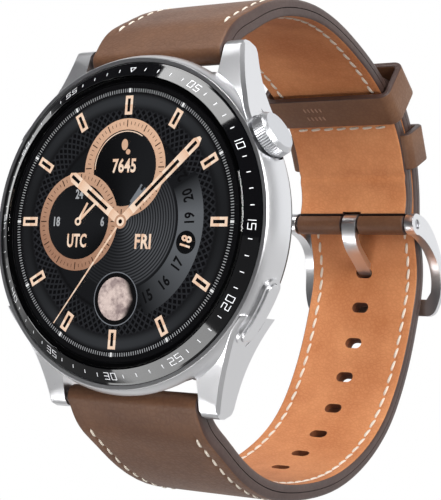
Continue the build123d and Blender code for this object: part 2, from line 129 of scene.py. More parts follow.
# %% [markdown]
# ## Camera, floor and light
# The camera stands to the right of the dial and a little below its middle, with a long lens, as for a
# catalogue picture. It is rolled a few degrees. A camera can be placed with a Track To constraint; here its
# three axes are written down as a matrix, because that also holds the roll.

# %% Camera
CAMERA_AZIMUTH, CAMERA_ELEVATION, CAMERA_ROLL = 33.63, -4.76, 3.88
CAMERA_TARGET = Vector((16.25, -10.6, -3.39)) * MM
CAMERA_DISTANCE, CAMERA_LENS = 183.9 * MM, 106.35

azimuth, elevation, roll = (math.radians(v) for v in (CAMERA_AZIMUTH, CAMERA_ELEVATION, CAMERA_ROLL))
back = Vector((math.sin(azimuth) * math.cos(elevation), -math.cos(azimuth) * math.cos(elevation),
               math.sin(elevation)))
level = Vector((math.cos(azimuth), math.sin(azimuth), 0))
rise = back.cross(level)
right = math.cos(roll) * level + math.sin(roll) * rise
up = math.cos(roll) * rise - math.sin(roll) * level
camera_data = bpy.data.cameras.new("camera")
camera_data.lens = CAMERA_LENS
camera_data.sensor_width = 36.0
camera_data.shift_y = -0.0036
camera_data.clip_start = 0.005
camera = bpy.data.objects.new("camera", camera_data)
camera.matrix_world = (Matrix.Translation(CAMERA_TARGET + back * CAMERA_DISTANCE)
                       @ Matrix((right, up, back)).transposed().to_4x4())
bpy.context.scene.collection.objects.link(camera)
bpy.context.scene.camera = camera
print("camera at", [round(v / MM, 1) for v in camera.location])

# %% [markdown]
# The watch hangs in the air as if on a wrist, so the floor lies well below it. Floor and sky are white to
# the camera. What the metal and the black glass mirror is another matter: they look best with a dark room
# in front of the dial and bright screens beside and behind it. So both answer mirror rays in their own way:
# the sky with a gradient by direction, the floor with a pale part that lies behind the watch.

# %% Floor, sky and lamps
FLOOR_DROP = 0.45                  # metres from the strap down to the floor
WHITE = (1, 1, 1, 1)
floor_mesh = bpy.data.meshes.new("floor")
bm = bmesh.new()
bmesh.ops.create_grid(bm, x_segments=1, y_segments=1, size=40.0)
bm.to_mesh(floor_mesh)
bm.free()
floor = bpy.data.objects.new("floor", floor_mesh)
floor.location.z = CAD_BOX[0].z - FLOOR_DROP
bpy.context.scene.collection.objects.link(floor)
floor_paint, tree, shader = new_finish("floor_paint", (0.32, 0.32, 0.32, 1), 0.9)
ray = add_node(tree, "LightPath").outputs
back_there = add_node(tree, "SeparateXYZ", i0=object_spot(tree)).outputs["Y"]
behind = add_node(tree, "MapRange", i0=back_there, i1=0.05, i2=0.35, i4=0.6).outputs[0]
lit_part = calc(tree, "MULTIPLY_ADD", behind, ray["Is Glossy Ray"], ray["Is Camera Ray"], clamp=True)
pale = add_node(tree, "Emission").outputs[0]
mixed = add_node(tree, "MixShader", i0=lit_part, i1=shader.outputs[0], i2=pale)
link_up(tree, tree.nodes["Material Output"], Surface=mixed.outputs[0])
floor_mesh.materials.append(floor_paint)

world = bpy.data.worlds.new("studio")
world.use_nodes = True
bpy.context.scene.world = world
tree = world.node_tree
tree.nodes.clear()
ray = add_node(tree, "LightPath").outputs
direction = tree.nodes.new("ShaderNodeTexCoord").outputs["Generated"]
towards = add_node(tree, "SeparateXYZ", i0=direction).outputs["Y"]
gradient = add_node(tree, "ValToRGB", i0=calc(tree, "MULTIPLY_ADD", towards, 0.5, 0.5))
dark_end, bright_end = gradient.color_ramp.elements
dark_end.position, dark_end.color = 0.58, (0.03, 0.03, 0.034, 1)
bright_end.position, bright_end.color = 0.78, (0.95, 0.96, 0.97, 1)
mirror_sky = add_node(tree, "Background", Color=gradient.outputs[0], Strength=1.0)
soft_sky = add_node(tree, "Background", Color=WHITE, Strength=0.62)
seen_sky = add_node(tree, "Background", Color=WHITE, Strength=1.0)
lighting = add_node(tree, "MixShader", i0=ray["Is Glossy Ray"], i1=soft_sky.outputs[0],
                    i2=mirror_sky.outputs[0])
sky = add_node(tree, "MixShader", i0=ray["Is Camera Ray"], i1=lighting.outputs[0], i2=seen_sky.outputs[0])
add_node(tree, "OutputWorld", Surface=sky.outputs[0])
bpy.context.scene.view_settings.view_transform = "Standard"


def lamp(name, azimuth, elevation, distance, size, power):
    """Area lamp that looks at the watch from a direction, in degrees as for the camera."""
    a, e = math.radians(azimuth), math.radians(elevation)
    away = Vector((math.sin(a) * math.cos(e), -math.cos(a) * math.cos(e), math.sin(e)))
    data = bpy.data.lights.new(name, "AREA")
    data.shape, data.size, data.size_y, data.energy = "RECTANGLE", size[0], size[1], power
    obj = bpy.data.objects.new(name, data)
    obj.location = Vector((0, 0.02, 0)) + away * distance
    obj.rotation_mode = "QUATERNION"
    obj.rotation_quaternion = (-away).to_track_quat("-Z", "Y")
    bpy.context.scene.collection.objects.link(obj)


lamp("key", 66, 17, 0.7, (0.30, 0.42), 3.9)
lamp("screen_top", -12, 58, 0.6, (0.42, 0.20), 2.4)
lamp("screen_low", -16, -48, 0.42, (0.40, 0.12), 0.9)
lamp("screen_left", -98, 16, 0.6, (0.30, 0.22), 0.32)
print("lamps", len(bpy.data.lights))

# %% [markdown]
# ## Finishes
# A finish is a material: one Principled shader whose inputs are steered by textures on Object coordinates.
# The effects that several finishes share, fine grain and drawn scratches, are node groups, built once and
# placed in each material with their own values. Grain is a cell texture for the pores over noise for the
# creases; scratches are noise that is stretched along one axis.

# %% Shared effects
def new_group(name, inputs, outputs):
    """Shader node group with named sockets; returns the tree, its input node and its output node."""
    group = bpy.data.node_groups.new(name, "ShaderNodeTree")
    for label, default in inputs:
        socket = group.interface.new_socket(label, in_out="INPUT", socket_type="NodeSocketFloat")
        socket.default_value = default
    for label in outputs:
        group.interface.new_socket(label, in_out="OUTPUT", socket_type="NodeSocketFloat")
    return group, group.nodes.new("NodeGroupInput"), group.nodes.new("NodeGroupOutput")


def use_group(tree, group, **values):
    """Places a group in a material with its values."""
    node = tree.nodes.new("ShaderNodeGroup")
    node.node_tree = group
    return link_up(tree, node, **values)


GRAIN, g_in, g_out = new_group("leather_grain", [("Pore Scale", 1500.0), ("Crease Scale", 350.0)],
                               ["Height", "Mottle"])
spot = object_spot(GRAIN)
pores = add_node(GRAIN, "TexVoronoi", {"feature": "DISTANCE_TO_EDGE"}, Vector=spot,
                 Scale=g_in.outputs["Pore Scale"]).outputs["Distance"]
creases = add_node(GRAIN, "TexNoise", Vector=spot, Scale=g_in.outputs["Crease Scale"], Detail=6.0,
                   Roughness=0.6).outputs["Fac"]
mottle = add_node(GRAIN, "TexNoise", Vector=spot, Scale=90.0, Detail=4.0, Roughness=0.65).outputs["Fac"]
pits = calc(GRAIN, "MULTIPLY", calc(GRAIN, "MINIMUM", pores, 0.25), 2.0)
link_up(GRAIN, g_out, Height=calc(GRAIN, "MULTIPLY_ADD", creases, 0.7, pits), Mottle=mottle)

DRAWN, d_in, d_out = new_group("drawn_scratches", [("Across", 9000.0), ("Along", 250.0)], ["Height"])
spot = object_spot(DRAWN)
stretch = add_node(DRAWN, "CombineXYZ", X=d_in.outputs["Across"], Y=d_in.outputs["Across"],
                   Z=d_in.outputs["Along"]).outputs[0]
lines = add_node(DRAWN, "VectorMath", {"operation": "MULTIPLY"}, i0=spot, i1=stretch).outputs[0]
link_up(DRAWN, d_out, Height=add_node(DRAWN, "TexNoise", Vector=lines, Scale=1.0, Detail=2.0).outputs["Fac"])
print("groups", [g.name for g in bpy.data.node_groups])

# %% [markdown]
# Leather is a warm base colour, mottled a little, with pores and creases in the bump. The outer face is
# finished smooth and catches a soft sheen; the lining is raw and matt; the cut edges are painted.

# %% Leather, edge paint and thread
def leather(name, dark, light, roughness, pore, bump, coat=0.0):
    """Leather between a dark and a light tone; pore is its pores to the metre, bump how much they show."""
    finish, tree, shader = new_finish(name, dark, roughness, Coat_Weight=coat, Coat_Roughness=0.35,
                                      Sheen_Weight=0.03, Sheen_Roughness=0.5, Specular_IOR_Level=0.36)
    grain = use_group(tree, GRAIN, Pore_Scale=pore, Crease_Scale=pore * 0.22)
    tone = add_node(tree, "MapRange", i0=grain.outputs["Mottle"], i1=0.35, i2=0.68).outputs[0]
    fine = calc(tree, "MULTIPLY_ADD", grain.outputs["Height"], 0.35, calc(tree, "MULTIPLY", tone, 0.6))
    link_up(tree, shader, Base_Color=blend_colours(tree, calc(tree, "MINIMUM", fine, 1.0), dark, light))
    rough = calc(tree, "MULTIPLY_ADD", grain.outputs["Height"], -0.12, roughness + 0.06)
    raised = add_node(tree, "Bump", Strength=bump, Distance=0.05 * MM, Height=grain.outputs["Height"])
    link_up(tree, shader, Roughness=rough, Normal=raised.outputs[0])
    return finish


OUTER_LEATHER = leather("outer_leather", srgb(86, 55, 37), srgb(119, 82, 57), 0.52, 1300.0, 0.6)
LINING_LEATHER = leather("lining_leather", srgb(188, 114, 66), srgb(226, 155, 104), 0.7, 1500.0, 0.9)
RAW_EDGE = leather("raw_edge", srgb(92, 48, 24), srgb(134, 76, 42), 0.8, 2600.0, 0.4)
KEEPER_LEATHER = leather("keeper_leather", srgb(94, 62, 43), srgb(124, 88, 63), 0.5, 1300.0, 0.55)
EDGE_PAINT = leather("edge_paint", srgb(62, 45, 41), srgb(80, 60, 54), 0.42, 900.0, 0.15, 0.1)


def thread(name, colour):
    """Waxed thread: a fine slanted twist in the bump."""
    finish, tree, shader = new_finish(name, colour, 0.6, Sheen_Weight=0.2)
    spot = object_spot(tree)
    twist = add_node(tree, "TexWave", {"bands_direction": "DIAGONAL"}, Vector=spot, Scale=1400.0,
                     Distortion=1.0).outputs["Fac"]
    worn = add_node(tree, "TexNoise", Vector=spot, Scale=600.0).outputs["Fac"]
    shade = tuple(c * 0.72 for c in colour[:3]) + (1.0,)
    link_up(tree, shader, Base_Color=blend_colours(tree, worn, shade, colour),
            Normal=add_node(tree, "Bump", Strength=0.5, Distance=0.04 * MM, Height=twist).outputs[0])
    return finish


CREAM_THREAD = thread("cream_thread", srgb(246, 233, 215))
BROWN_THREAD = thread("brown_thread", srgb(158, 120, 96))

# %% [markdown]
# Steel is drawn satin; each steel part has one finish, and the buckle tongue one of its own, called polished.
# The satin comes from a noise that is stretched along one direction, which scatters the mirror image across
# the lines.

# %% Steel
def steel(name, tone, roughness, bump, across=9000.0, along=250.0):
    """Bare metal with drawn scratches, so many to the metre across and along."""
    finish, tree, shader = new_finish(name, tone, roughness, 1.0)
    scratch = use_group(tree, DRAWN, Across=across, Along=along)
    rough = calc(tree, "MULTIPLY_ADD", scratch.outputs["Height"], 0.16, roughness - 0.06)
    raised = add_node(tree, "Bump", Strength=bump, Distance=0.01 * MM, Height=scratch.outputs["Height"])
    link_up(tree, shader, Roughness=rough, Normal=raised.outputs[0])
    return finish


SATIN_STEEL = steel("satin_steel", srgb(232, 232, 234), 0.3, 0.25)
# The crown's steel is a darker copy of the satin steel: painted shade that keeps its knurl from shining out
# white.
SHADED_CROWN_STEEL = steel("crown_steel_shaded", srgb(218, 219, 222), 0.34, 0.02)
POLISHED_STEEL = steel("polished_steel", srgb(226, 227, 229), 0.34, 0.1)
SMALL_STEEL = steel("small_steel", srgb(190, 190, 194), 0.32, 0.2)
COPPER = steel("copper_winding", srgb(196, 118, 74), 0.3, 0.3)
FOIL = steel("battery_foil", srgb(176, 178, 182), 0.38, 0.2)

# %% [markdown]
# Ceramic, plastic and rubber have one even colour. What tells them apart is their gloss, from the nearly
# mirror-like ceramic to the dull rubber, and each has a faint cloudiness in it. The crystal is plain clear
# glass.

# %% Ceramic, plastic, rubber and glass
def moulded(name, colour, roughness, speckle=0.04, **constants):
    """Moulded or coated part: an even colour with a slight unevenness in its gloss."""
    finish, tree, shader = new_finish(name, colour, roughness, **constants)
    spot = object_spot(tree)
    cloud = add_node(tree, "TexNoise", Vector=spot, Scale=700.0, Detail=3.0).outputs["Fac"]
    link_up(tree, shader, Roughness=calc(tree, "MULTIPLY_ADD", cloud, speckle * 2, roughness - speckle))
    return finish


BLACK_CERAMIC = moulded("black_ceramic", srgb(10, 10, 12), 0.06, 0.015)
BACK_SHELL = moulded("back_shell", srgb(10, 10, 11), 0.5, Specular_IOR_Level=0.2)
BLACK_RUBBER = moulded("black_rubber", srgb(18, 18, 18), 0.75)
INNER_PLASTIC = moulded("inner_plastic", srgb(38, 38, 41), 0.6)
BOARD_GREEN = moulded("board_green", srgb(22, 74, 48), 0.45)
CRYSTAL_GLASS = new_finish("crystal_glass", WHITE, 0.0, Transmission_Weight=1.0, IOR=1.5)[0]
SENSOR_GLASS = moulded("sensor_glass", srgb(16, 16, 20), 0.08, 0.02, Coat_Weight=0.5, Coat_Roughness=0.03)
print("materials", len(bpy.data.materials))

# %% [markdown]
# ## The strap
# A watch strap is two layers of leather, an outer one and a lining, glued and sewn along both edges. The
# outer layer is cut longer and is folded round the bar at its end. So each layer is made as on the bench: a
# flat blank with rounded edges, which is then laid along the curve that the buckled strap takes in side
# view. Laying is one function: distance along the blank becomes distance along the curve, and past the end
# it goes round the bar.

# %% Side-view curves
BAR_Y, BAR_Z = -3.9, 23.2            # upper spring bar; the lower one is its mirror image
BUCKLE_Y, BUCKLE_Z = 53.2, 7.3       # buckle bar


def fair_line(points, outward):
    """Natural spline through side-view points (y, z) in mm, as arrays over the distance along it."""
    knots = np.array(points, float)
    t = np.concatenate([[0], np.cumsum(np.linalg.norm(np.diff(knots, axis=0), axis=1))])
    h = np.diff(t)
    system, pull = np.eye(len(t)), np.zeros_like(knots)
    for i in range(1, len(t) - 1):
        system[i, i - 1:i + 2] = h[i - 1], 2 * (h[i - 1] + h[i]), h[i]
        pull[i] = 6 * ((knots[i + 1] - knots[i]) / h[i] - (knots[i] - knots[i - 1]) / h[i - 1])
    bend = np.linalg.solve(system, pull)
    fine = np.linspace(0, t[-1], 3000)
    k = np.clip(np.searchsorted(t, fine, side="right") - 1, 0, len(h) - 1)
    u, hk = (fine - t[k])[:, None], h[k][:, None]
    v = hk - u
    p = ((bend[k] * v ** 3 + bend[k + 1] * u ** 3) / (6 * hk) + (knots[k + 1] / hk - bend[k + 1] * hk / 6) * u
         + (knots[k] / hk - bend[k] * hk / 6) * v)
    s = np.concatenate([[0], np.cumsum(np.linalg.norm(np.diff(p, axis=0), axis=1))])
    ahead = np.gradient(p, s, axis=0)
    ahead /= np.linalg.norm(ahead, axis=1)[:, None]
    out = np.column_stack([-ahead[:, 1], ahead[:, 0]]) * outward
    return {"s": s, "p": p, "ahead": ahead, "out": out, "length": s[-1]}


def along(line, s, what):
    """Point, heading or outward direction of a line at a distance along it."""
    return np.array([np.interp(s, line["s"], line[what][:, i]) for i in (0, 1)])


SHORT = fair_line([(BAR_Y, BAR_Z), (-2.0, 26.2), (1.6, 28.7), (5.1, 30.7), (9.1, 32.4), (14.6, 33.7),
                   (19.4, 34.1), (25.9, 33.5), (32.8, 31.7), (39.2, 29.3), (46.6, 24.6), (50.7, 19.6),
                   (52.9, 14.8), (53.8, 10.8), (BUCKLE_Y, BUCKLE_Z)], 1)
LONG = fair_line([(BAR_Y, -BAR_Z), (-1.9, -26.0), (1.5, -28.4), (6.4, -31.4), (15.6, -34.7), (22.4, -35.2),
                  (28.9, -34.9), (35.2, -33.8), (40.6, -31.9), (46.3, -28.7), (50.7, -24.7), (53.8, -20.1),
                  (56.4, -14.4), (58.6, -6.9), (59.4, -2.0), (58.9, 2.0), (57.4, 6.2), (56.5, 11.6),
                  (55.4, 15.9), (53.0, 21.1), (48.4, 26.6), (44.4, 29.4)], -1)
TONGUE_LINE = fair_line([(52.05, 7.3), (53.4, 3.8), (56.6, 1.5), (59.6, -0.6), (62.1, -2.7), (63.1, -4.9),
                         (63.15, -7.1)], 1)
print("short half", round(SHORT["length"], 1), "mm, long half", round(LONG["length"], 1), "mm")

# %% [markdown]
# The strap is thickest and widest at the lugs. Thickness and width are functions of the distance along, and
# `strap_point` turns a distance along, a height off the glue line and a place across into a point in space.

# %% Thickness and width of the strap, and the point at a place on it
LUG_HALF_WIDTH, BUCKLE_HALF_WIDTH = 10.75, 10.0
LUG_HALF_THICKNESS, SHORT_THIN, LONG_THIN = 1.5, 1.15, 1.2
TURN_RADIUS = 1.25                   # at which distance along is counted where the leather goes round a bar


def half_thickness(s, thin):
    """The strap is padded at the lugs and thins over the first 30 mm."""
    return thin + (LUG_HALF_THICKNESS - thin) * max(0.0, 1 - s / 30)


def half_width(line, s):
    """Half the width at a distance along: it narrows from the lugs to the buckle."""
    y = along(line, min(max(s, 0), line["length"]), "p")[0]
    return LUG_HALF_WIDTH - (LUG_HALF_WIDTH - BUCKLE_HALF_WIDTH) * min(max((y - 2) / 46, 0), 1)


def strap_point(line, s, off, x):
    """Point in metres at a distance along, off the line and across it. Past an end, s turns round the bar."""
    inside = min(max(s, 0), line["length"])
    centre, out, ahead = (along(line, inside, key) for key in ("p", "out", "ahead"))
    turn = (s - inside) / TURN_RADIUS
    out = out * math.cos(turn) + ahead * math.sin(turn)
    y, z = centre + out * off
    return Vector((x, y, z)) * MM

# %% [markdown]
# A blank is a grid that is given its thickness and a rounded rim. Holes and notches are taken out of a
# finished piece with a Boolean, which is applied at once, so that the piece stays one plain mesh.

# %% A flat blank, a finished piece, and cutting
def given_depth(bm, depth):
    """Extrudes all faces of a flat sheet by a depth along z."""
    grown = bmesh.ops.extrude_face_region(bm, geom=bm.faces[:])["geom"]
    bmesh.ops.translate(bm, vec=(0, 0, depth), verts=[g for g in grown if isinstance(g, bmesh.types.BMVert)])


def leather_blank(columns, start, stop, thickness, rounding, step):
    """Flat leather in mm: x across, y along, z through it, its shown face up and rounded off at the rim."""
    bm = bmesh.new()
    rows = round((stop - start) / step)
    bmesh.ops.create_grid(bm, x_segments=len(columns) - 1, y_segments=rows, size=0.5)
    for v in bm.verts:
        v.co.x = columns[round((v.co.x + 0.5) * (len(columns) - 1))]
        v.co.y = start + (v.co.y + 0.5) * (stop - start)
    given_depth(bm, thickness)
    bmesh.ops.recalc_face_normals(bm, faces=bm.faces[:])
    rim = [e for e in bm.edges if min(v.co.z for v in e.verts) > thickness / 2
           and min(f.normal.z for f in e.link_faces) < 0.5]
    bmesh.ops.bevel(bm, geom=rim, offset=rounding, offset_type="OFFSET", affect="EDGES", segments=3,
                    profile=0.5, material=-1)
    for f in bm.faces:
        f.material_index = int(f.normal.z < 0.8)
    return bm


def finish_piece(name, bm, finishes, body, sharp=50):
    """Turns a bmesh into a smooth-shaded piece that rides on a body."""
    bmesh.ops.recalc_face_normals(bm, faces=bm.faces[:])
    mesh = bpy.data.meshes.new(name)
    bm.to_mesh(mesh)
    bm.free()
    for finish in finishes:
        mesh.materials.append(finish)
    mesh.shade_smooth()
    mesh.set_sharp_from_angle(angle=math.radians(sharp))
    piece = bpy.data.objects.new(name, mesh)
    bpy.context.scene.collection.objects.link(piece)
    if body:
        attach(piece, body)
    return piece


def cut_away(piece, cutters):
    """Subtracts other shapes from a piece for good and throws them away."""
    for cutter in cutters:
        modifier = piece.modifiers.new("cut", "BOOLEAN")
        modifier.operation, modifier.solver, modifier.object = "DIFFERENCE", "EXACT", cutter
        modifier.material_mode = "TRANSFER"
    bpy.context.view_layer.update()
    cut = bpy.data.meshes.new_from_object(piece.evaluated_get(bpy.context.evaluated_depsgraph_get()))
    piece.modifiers.clear()
    piece.data = cut
    cut.shade_smooth()
    cut.set_sharp_from_angle(angle=math.radians(50))
    for cutter in cutters:
        bpy.data.objects.remove(cutter)

# %% [markdown]
# The sewing line lies in a shallow groove, 1.9 mm from each edge, and the leather swells a little between
# the stitches. The blank has columns just there, close together in the groove and wide apart elsewhere.

# %% Columns, groove and swelling
STITCH_IN = 1.9
PITCH = 2.35
EDGE_STEPS = [0, 0.7, 1.2, 1.55, 1.75, 1.9, 2.1, 2.35, 2.9, 4.2, 6.0, 8.2]
COLUMNS = ([-(LUG_HALF_WIDTH - e) for e in EDGE_STEPS] + [0]
           + [LUG_HALF_WIDTH - e for e in reversed(EDGE_STEPS)])


def face_height(line, s, x, thin, sewn, crease=None, padded=0.0):
    """Height of the shown face over the glue line at a place of a layer."""
    height = half_thickness(s, thin)
    from_edge = LUG_HALF_WIDTH - abs(x)
    if sewn[0] < s < sewn[1]:
        between = math.cos(2 * math.pi * (s - sewn[0]) / PITCH)
        height -= (0.11 + 0.05 * between) * math.exp(-((from_edge - STITCH_IN) / 0.25) ** 2)
        height -= 0.03 * between * math.exp(-((from_edge - 0.9) / 0.5) ** 2)
    if crease:
        height -= 0.26 * math.exp(-((s - crease) / 0.5) ** 2)
        height += 0.1 * math.exp(-((s - crease - 1.1) / 0.6) ** 2)
    swell = max(0.0, 1 - s / 34) * math.sin(min(max(s / 10, 0), 1) * math.pi / 2) ** 2
    return height + padded * swell * (1 - (x / LUG_HALF_WIDTH) ** 4)

# %% [markdown]
# The outer layer turns round the spring bar at the lugs, and on the short half also round the buckle bar.
# The lining stops short of the bars. `side` is +1 for the outer layer and -1 for the lining, which lies on
# the other side of the glue line.

# %% Lay the four layers
GLUE = 0.06                          # half of the gap between the layers
HOLLOW = 0.85                        # radius left free for a bar
TAIL = 5.0                           # length over which the tail is rounded


def lay_layer(name, line, side, thin, start, stop, folds, finish, body, sewn, crease=None, padded=0.0):
    """One layer of leather; folds are the (distance along, outer radius) of the bars that it goes round."""
    flat = 1.1
    bm = leather_blank(COLUMNS, start, stop, flat, 0.42, PITCH / 5)
    for v in bm.verts:
        x, s, z = v.co
        face = face_height(line, s, x, thin, sewn, crease, padded)
        back = GLUE
        for end, radius in folds:
            past_the_bar = s < 0 if end == 0 else s > end
            away = 0 if past_the_bar else abs(s - end)
            round_face = math.sqrt(max(0.0, radius ** 2 - away ** 2))
            face = max(face, round_face) if away > 0 else radius
            back = max(back, math.sqrt(max(0.0, HOLLOW ** 2 - away ** 2)))
        wide = half_width(line, s) / LUG_HALF_WIDTH
        if line is LONG and s > line["length"] - TAIL:
            wide *= 1 - 0.3 * (1 - math.sqrt(max(0.0, 1 - ((s - line["length"] + TAIL) / TAIL) ** 2)))
        v.co = strap_point(line, s, side * (back + (face - back) * z / flat), x * wide)
    return finish_piece(name, bm, [finish, EDGE_PAINT], body)


TURN = TURN_RADIUS * (math.pi + 0.7)
SHORT_LENGTH, LONG_LENGTH = SHORT["length"], LONG["length"]
SHORT_SEWN, LONG_SEWN = (4.0, 53.0), (4.0, LONG_LENGTH - TAIL)
CREASE_S = 67.2
LUG_FOLD, BUCKLE_FOLD = (0, 1.55), (SHORT_LENGTH, 1.75)
upper_outer = lay_layer("upper_strap_leather", SHORT, 1, SHORT_THIN, -TURN, SHORT_LENGTH + TURN,
                        [LUG_FOLD, BUCKLE_FOLD], OUTER_LEATHER, "upper_strap", SHORT_SEWN,
                        padded=0.22)
upper_lining = lay_layer("upper_strap_inside", SHORT, -1, SHORT_THIN, 1.4, SHORT_LENGTH - 1.3, [],
                         LINING_LEATHER, "upper_strap", SHORT_SEWN, crease=CREASE_S)
lower_outer = lay_layer("lower_strap_leather", LONG, 1, LONG_THIN, -TURN, LONG_LENGTH, [LUG_FOLD],
                        OUTER_LEATHER, "lower_strap", LONG_SEWN, padded=0.22)
lower_lining = lay_layer("lower_strap_inside", LONG, -1, LONG_THIN, 1.4, LONG_LENGTH, [], LINING_LEATHER,
                         "lower_strap", LONG_SEWN)
print("strap layers", [len(p.data.polygons) for p in (upper_outer, upper_lining, lower_outer, lower_lining)])

# %% [markdown]
# Holes are punched after the layers are glued, straight through both. The punch leaves a rounded slot. The
# strap ends have a cut-out for the finger lever of the quick-release bar, and the fold at the buckle has a
# notch in which the tongue turns.

# %% Punch the holes
def punch(name, matrix, length, width, depth):
    """Rounded-slot punch in mm: a flat sheet with its corners rounded off, extruded both ways."""
    bm = bmesh.new()
    bmesh.ops.create_grid(bm, x_segments=1, y_segments=1, size=0.5)
    bmesh.ops.scale(bm, vec=(length, width, 1), verts=bm.verts[:])
    bmesh.ops.bevel(bm, geom=bm.verts[:], offset=width * 0.498, affect="VERTICES", segments=6, profile=0.5,
                    material=-1)
    given_depth(bm, depth)
    bmesh.ops.translate(bm, vec=(0, 0, -depth / 2), verts=bm.verts[:])
    bmesh.ops.transform(bm, matrix=matrix, verts=bm.verts[:])
    return finish_piece(name, bm, [RAW_EDGE], None)


def seat(line, s, off, x=0.0, slant=0.0, side=1):
    """Matrix of a place on the strap: local x across, y along, z out of the shown face; takes mm."""
    ahead, out = along(line, s, "ahead"), along(line, s, "out") * side
    axes = Matrix(((1, 0, 0), (0, *ahead), (0, *out))).transposed().to_4x4()
    turned = axes @ Matrix.Rotation(slant, 4, "Z") @ Matrix.Scale(MM, 4)
    return Matrix.Translation(strap_point(line, s, off * side, x)) @ turned


def box_cutter(name, low, high):
    """Box between two corners in mm, to cut with."""
    bm = bmesh.new()
    bmesh.ops.create_cube(bm, size=1)
    low, high = Vector(low), Vector(high)
    for v in bm.verts:
        v.co = ((low + high) / 2 + Vector(a * b for a, b in zip(v.co, high - low))) * MM
    return finish_piece(name, bm, [EDGE_PAINT], None)


def lever_slot(low, high):
    """Cutter for the finger lever's slot between two heights."""
    return box_cutter("lever_slot", (5.8, BAR_Y, low), (8.5, 1.3, high))


HOLE_PITCH, HOLE_COUNT = 6.4, 8
gap = np.linalg.norm(LONG["p"] - np.array([59.2, -0.3]), axis=1)     # to where the tongue crosses the strap
TONGUE_S = LONG["s"][gap.argmin()]
HOLES = [TONGUE_S - HOLE_PITCH * i for i in range(HOLE_COUNT)]
for layer in (lower_outer, lower_lining):
    punches = [punch("punch", seat(LONG, s, 0), 3.0, 1.8, 6) for s in HOLES]
    clear = leather_blank([-1.5, 0, 1.5], 0, TONGUE_LINE["length"], 2.5, 0.01, 0.5)
    for v in clear.verts:
        v.co = strap_point(TONGUE_LINE, v.co.y, v.co.z - 1.25, v.co.x)
    punches.append(finish_piece("tongue_clearance", clear, [RAW_EDGE, RAW_EDGE], None))
    punches.append(lever_slot(-BAR_Z - 0.8, -BAR_Z + 0.8))
    cut_away(layer, punches)
for layer in (upper_outer, upper_lining):
    notch = bmesh.new()
    bmesh.ops.create_cone(notch, cap_ends=True, segments=40, radius1=2.1 * MM, radius2=2.1 * MM,
                          depth=3.4 * MM)
    bmesh.ops.rotate(notch, cent=(0, 0, 0), matrix=Matrix.Rotation(math.pi / 2, 3, "Y"), verts=notch.verts[:])
    bmesh.ops.translate(notch, vec=Vector((0, BUCKLE_Y, BUCKLE_Z)) * MM, verts=notch.verts[:])
    cut_away(layer, [finish_piece("tongue_notch", notch, [EDGE_PAINT], None),
                     lever_slot(BAR_Z - 0.8, BAR_Z + 0.8)])
print("holes at", [round(s, 1) for s in HOLES])

# %% [markdown]
# The leather shapes made here stand in for the plain CAD layers, so those are hidden: each visual layer
# replaces its CAD solid.

# %% Replace the plain layers
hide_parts("upper_strap_outer")
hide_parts("upper_strap_lining")
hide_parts("lower_strap_outer")
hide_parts("lower_strap_lining")

# %% [markdown]
# The thread is thick waxed linen in saddle stitch: each stitch is a short, slightly slanted bead of thread
# whose ends dive into the leather. One stitch is modelled with few faces and repeated; a run of them is one
# piece.

# %% Stitching
def stitch_shape(length, width, height):
    """One stitch in mm, lying along y, its ends bent down."""
    bm = bmesh.new()
    bmesh.ops.create_uvsphere(bm, u_segments=8, v_segments=6, radius=1)
    bmesh.ops.rotate(bm, cent=(0, 0, 0), matrix=Matrix.Rotation(math.pi / 2, 3, "X"), verts=bm.verts[:])
    for v in bm.verts:
        t = math.copysign(abs(v.co.y) ** 0.75, v.co.y)
        full = (1 - t ** 4) ** 0.5 / max(math.hypot(v.co.x, v.co.z), 1e-6) if abs(t) < 0.999 else 0
        v.co = (v.co.x * full * width / 2, t * length / 2, v.co.z * full * height / 2 - 0.16 * t ** 4)
    mesh = bpy.data.meshes.new("stitch")
    bm.to_mesh(mesh)
    bm.free()
    return mesh


def sew(name, shape, seats, finish, body):
    """A run of stitches at the given places, as one piece."""
    bm = bmesh.new()
    for matrix in seats:
        one = shape.copy()
        one.transform(matrix)
        bm.from_mesh(one)
        bpy.data.meshes.remove(one)
    print(name, len(seats), "stitches")
    return finish_piece(name, bm, [finish], body, sharp=180)


def edge_run(line, side, thin, start, stop):
    """Places of the stitches along both edges of one face."""
    places = []
    for i in range(int((stop - start) / PITCH)):
        s = start + PITCH * (i + 0.5)
        off = half_thickness(s, thin) - 0.02
        for edge in (-1, 1):
            x = edge * half_width(line, s) * (1 - STITCH_IN / LUG_HALF_WIDTH)
            places.append(seat(line, s, off, x, math.radians(9 * side), side))
    return places


EDGE_STITCH = stitch_shape(1.95, 0.5, 0.4)
CROSS_S = 58.2                       # where a row of stitches runs across the lining of the short half
cross_row = [seat(SHORT, CROSS_S, half_thickness(CROSS_S, SHORT_THIN) + 0.02, 2.4 * i, math.radians(84), -1)
             for i in range(-3, 4)]
for name, places, body in (
        ("upper_outer_stitches", edge_run(SHORT, 1, SHORT_THIN, *SHORT_SEWN), "upper_strap"),
        ("upper_lining_stitches", edge_run(SHORT, -1, SHORT_THIN, 4.0, 54.0) + cross_row, "upper_strap"),
        ("lower_outer_stitches", edge_run(LONG, 1, LONG_THIN, *LONG_SEWN), "lower_strap"),
        ("lower_lining_stitches", edge_run(LONG, -1, LONG_THIN, *LONG_SEWN), "lower_strap")):
    sew(name, EDGE_STITCH, places, CREAM_THREAD, body)

# %% [markdown]
# Keepers are strips of leather bent to a flat ring and joined. The free one slides over both halves; its
# joint is a butt seam on the wrist side, closed with two short rows of stitches. The fixed one is glued in
# at the strap's edges: here its wrist side is trimmed flat and lies out of sight inside the leather of the
# short half, while the CAD keeper is open there. Both start as a rounded rectangle that is inset for the
# wall.

# %% Keepers
FIXED_S, FREE_S = 63.3, 53.3


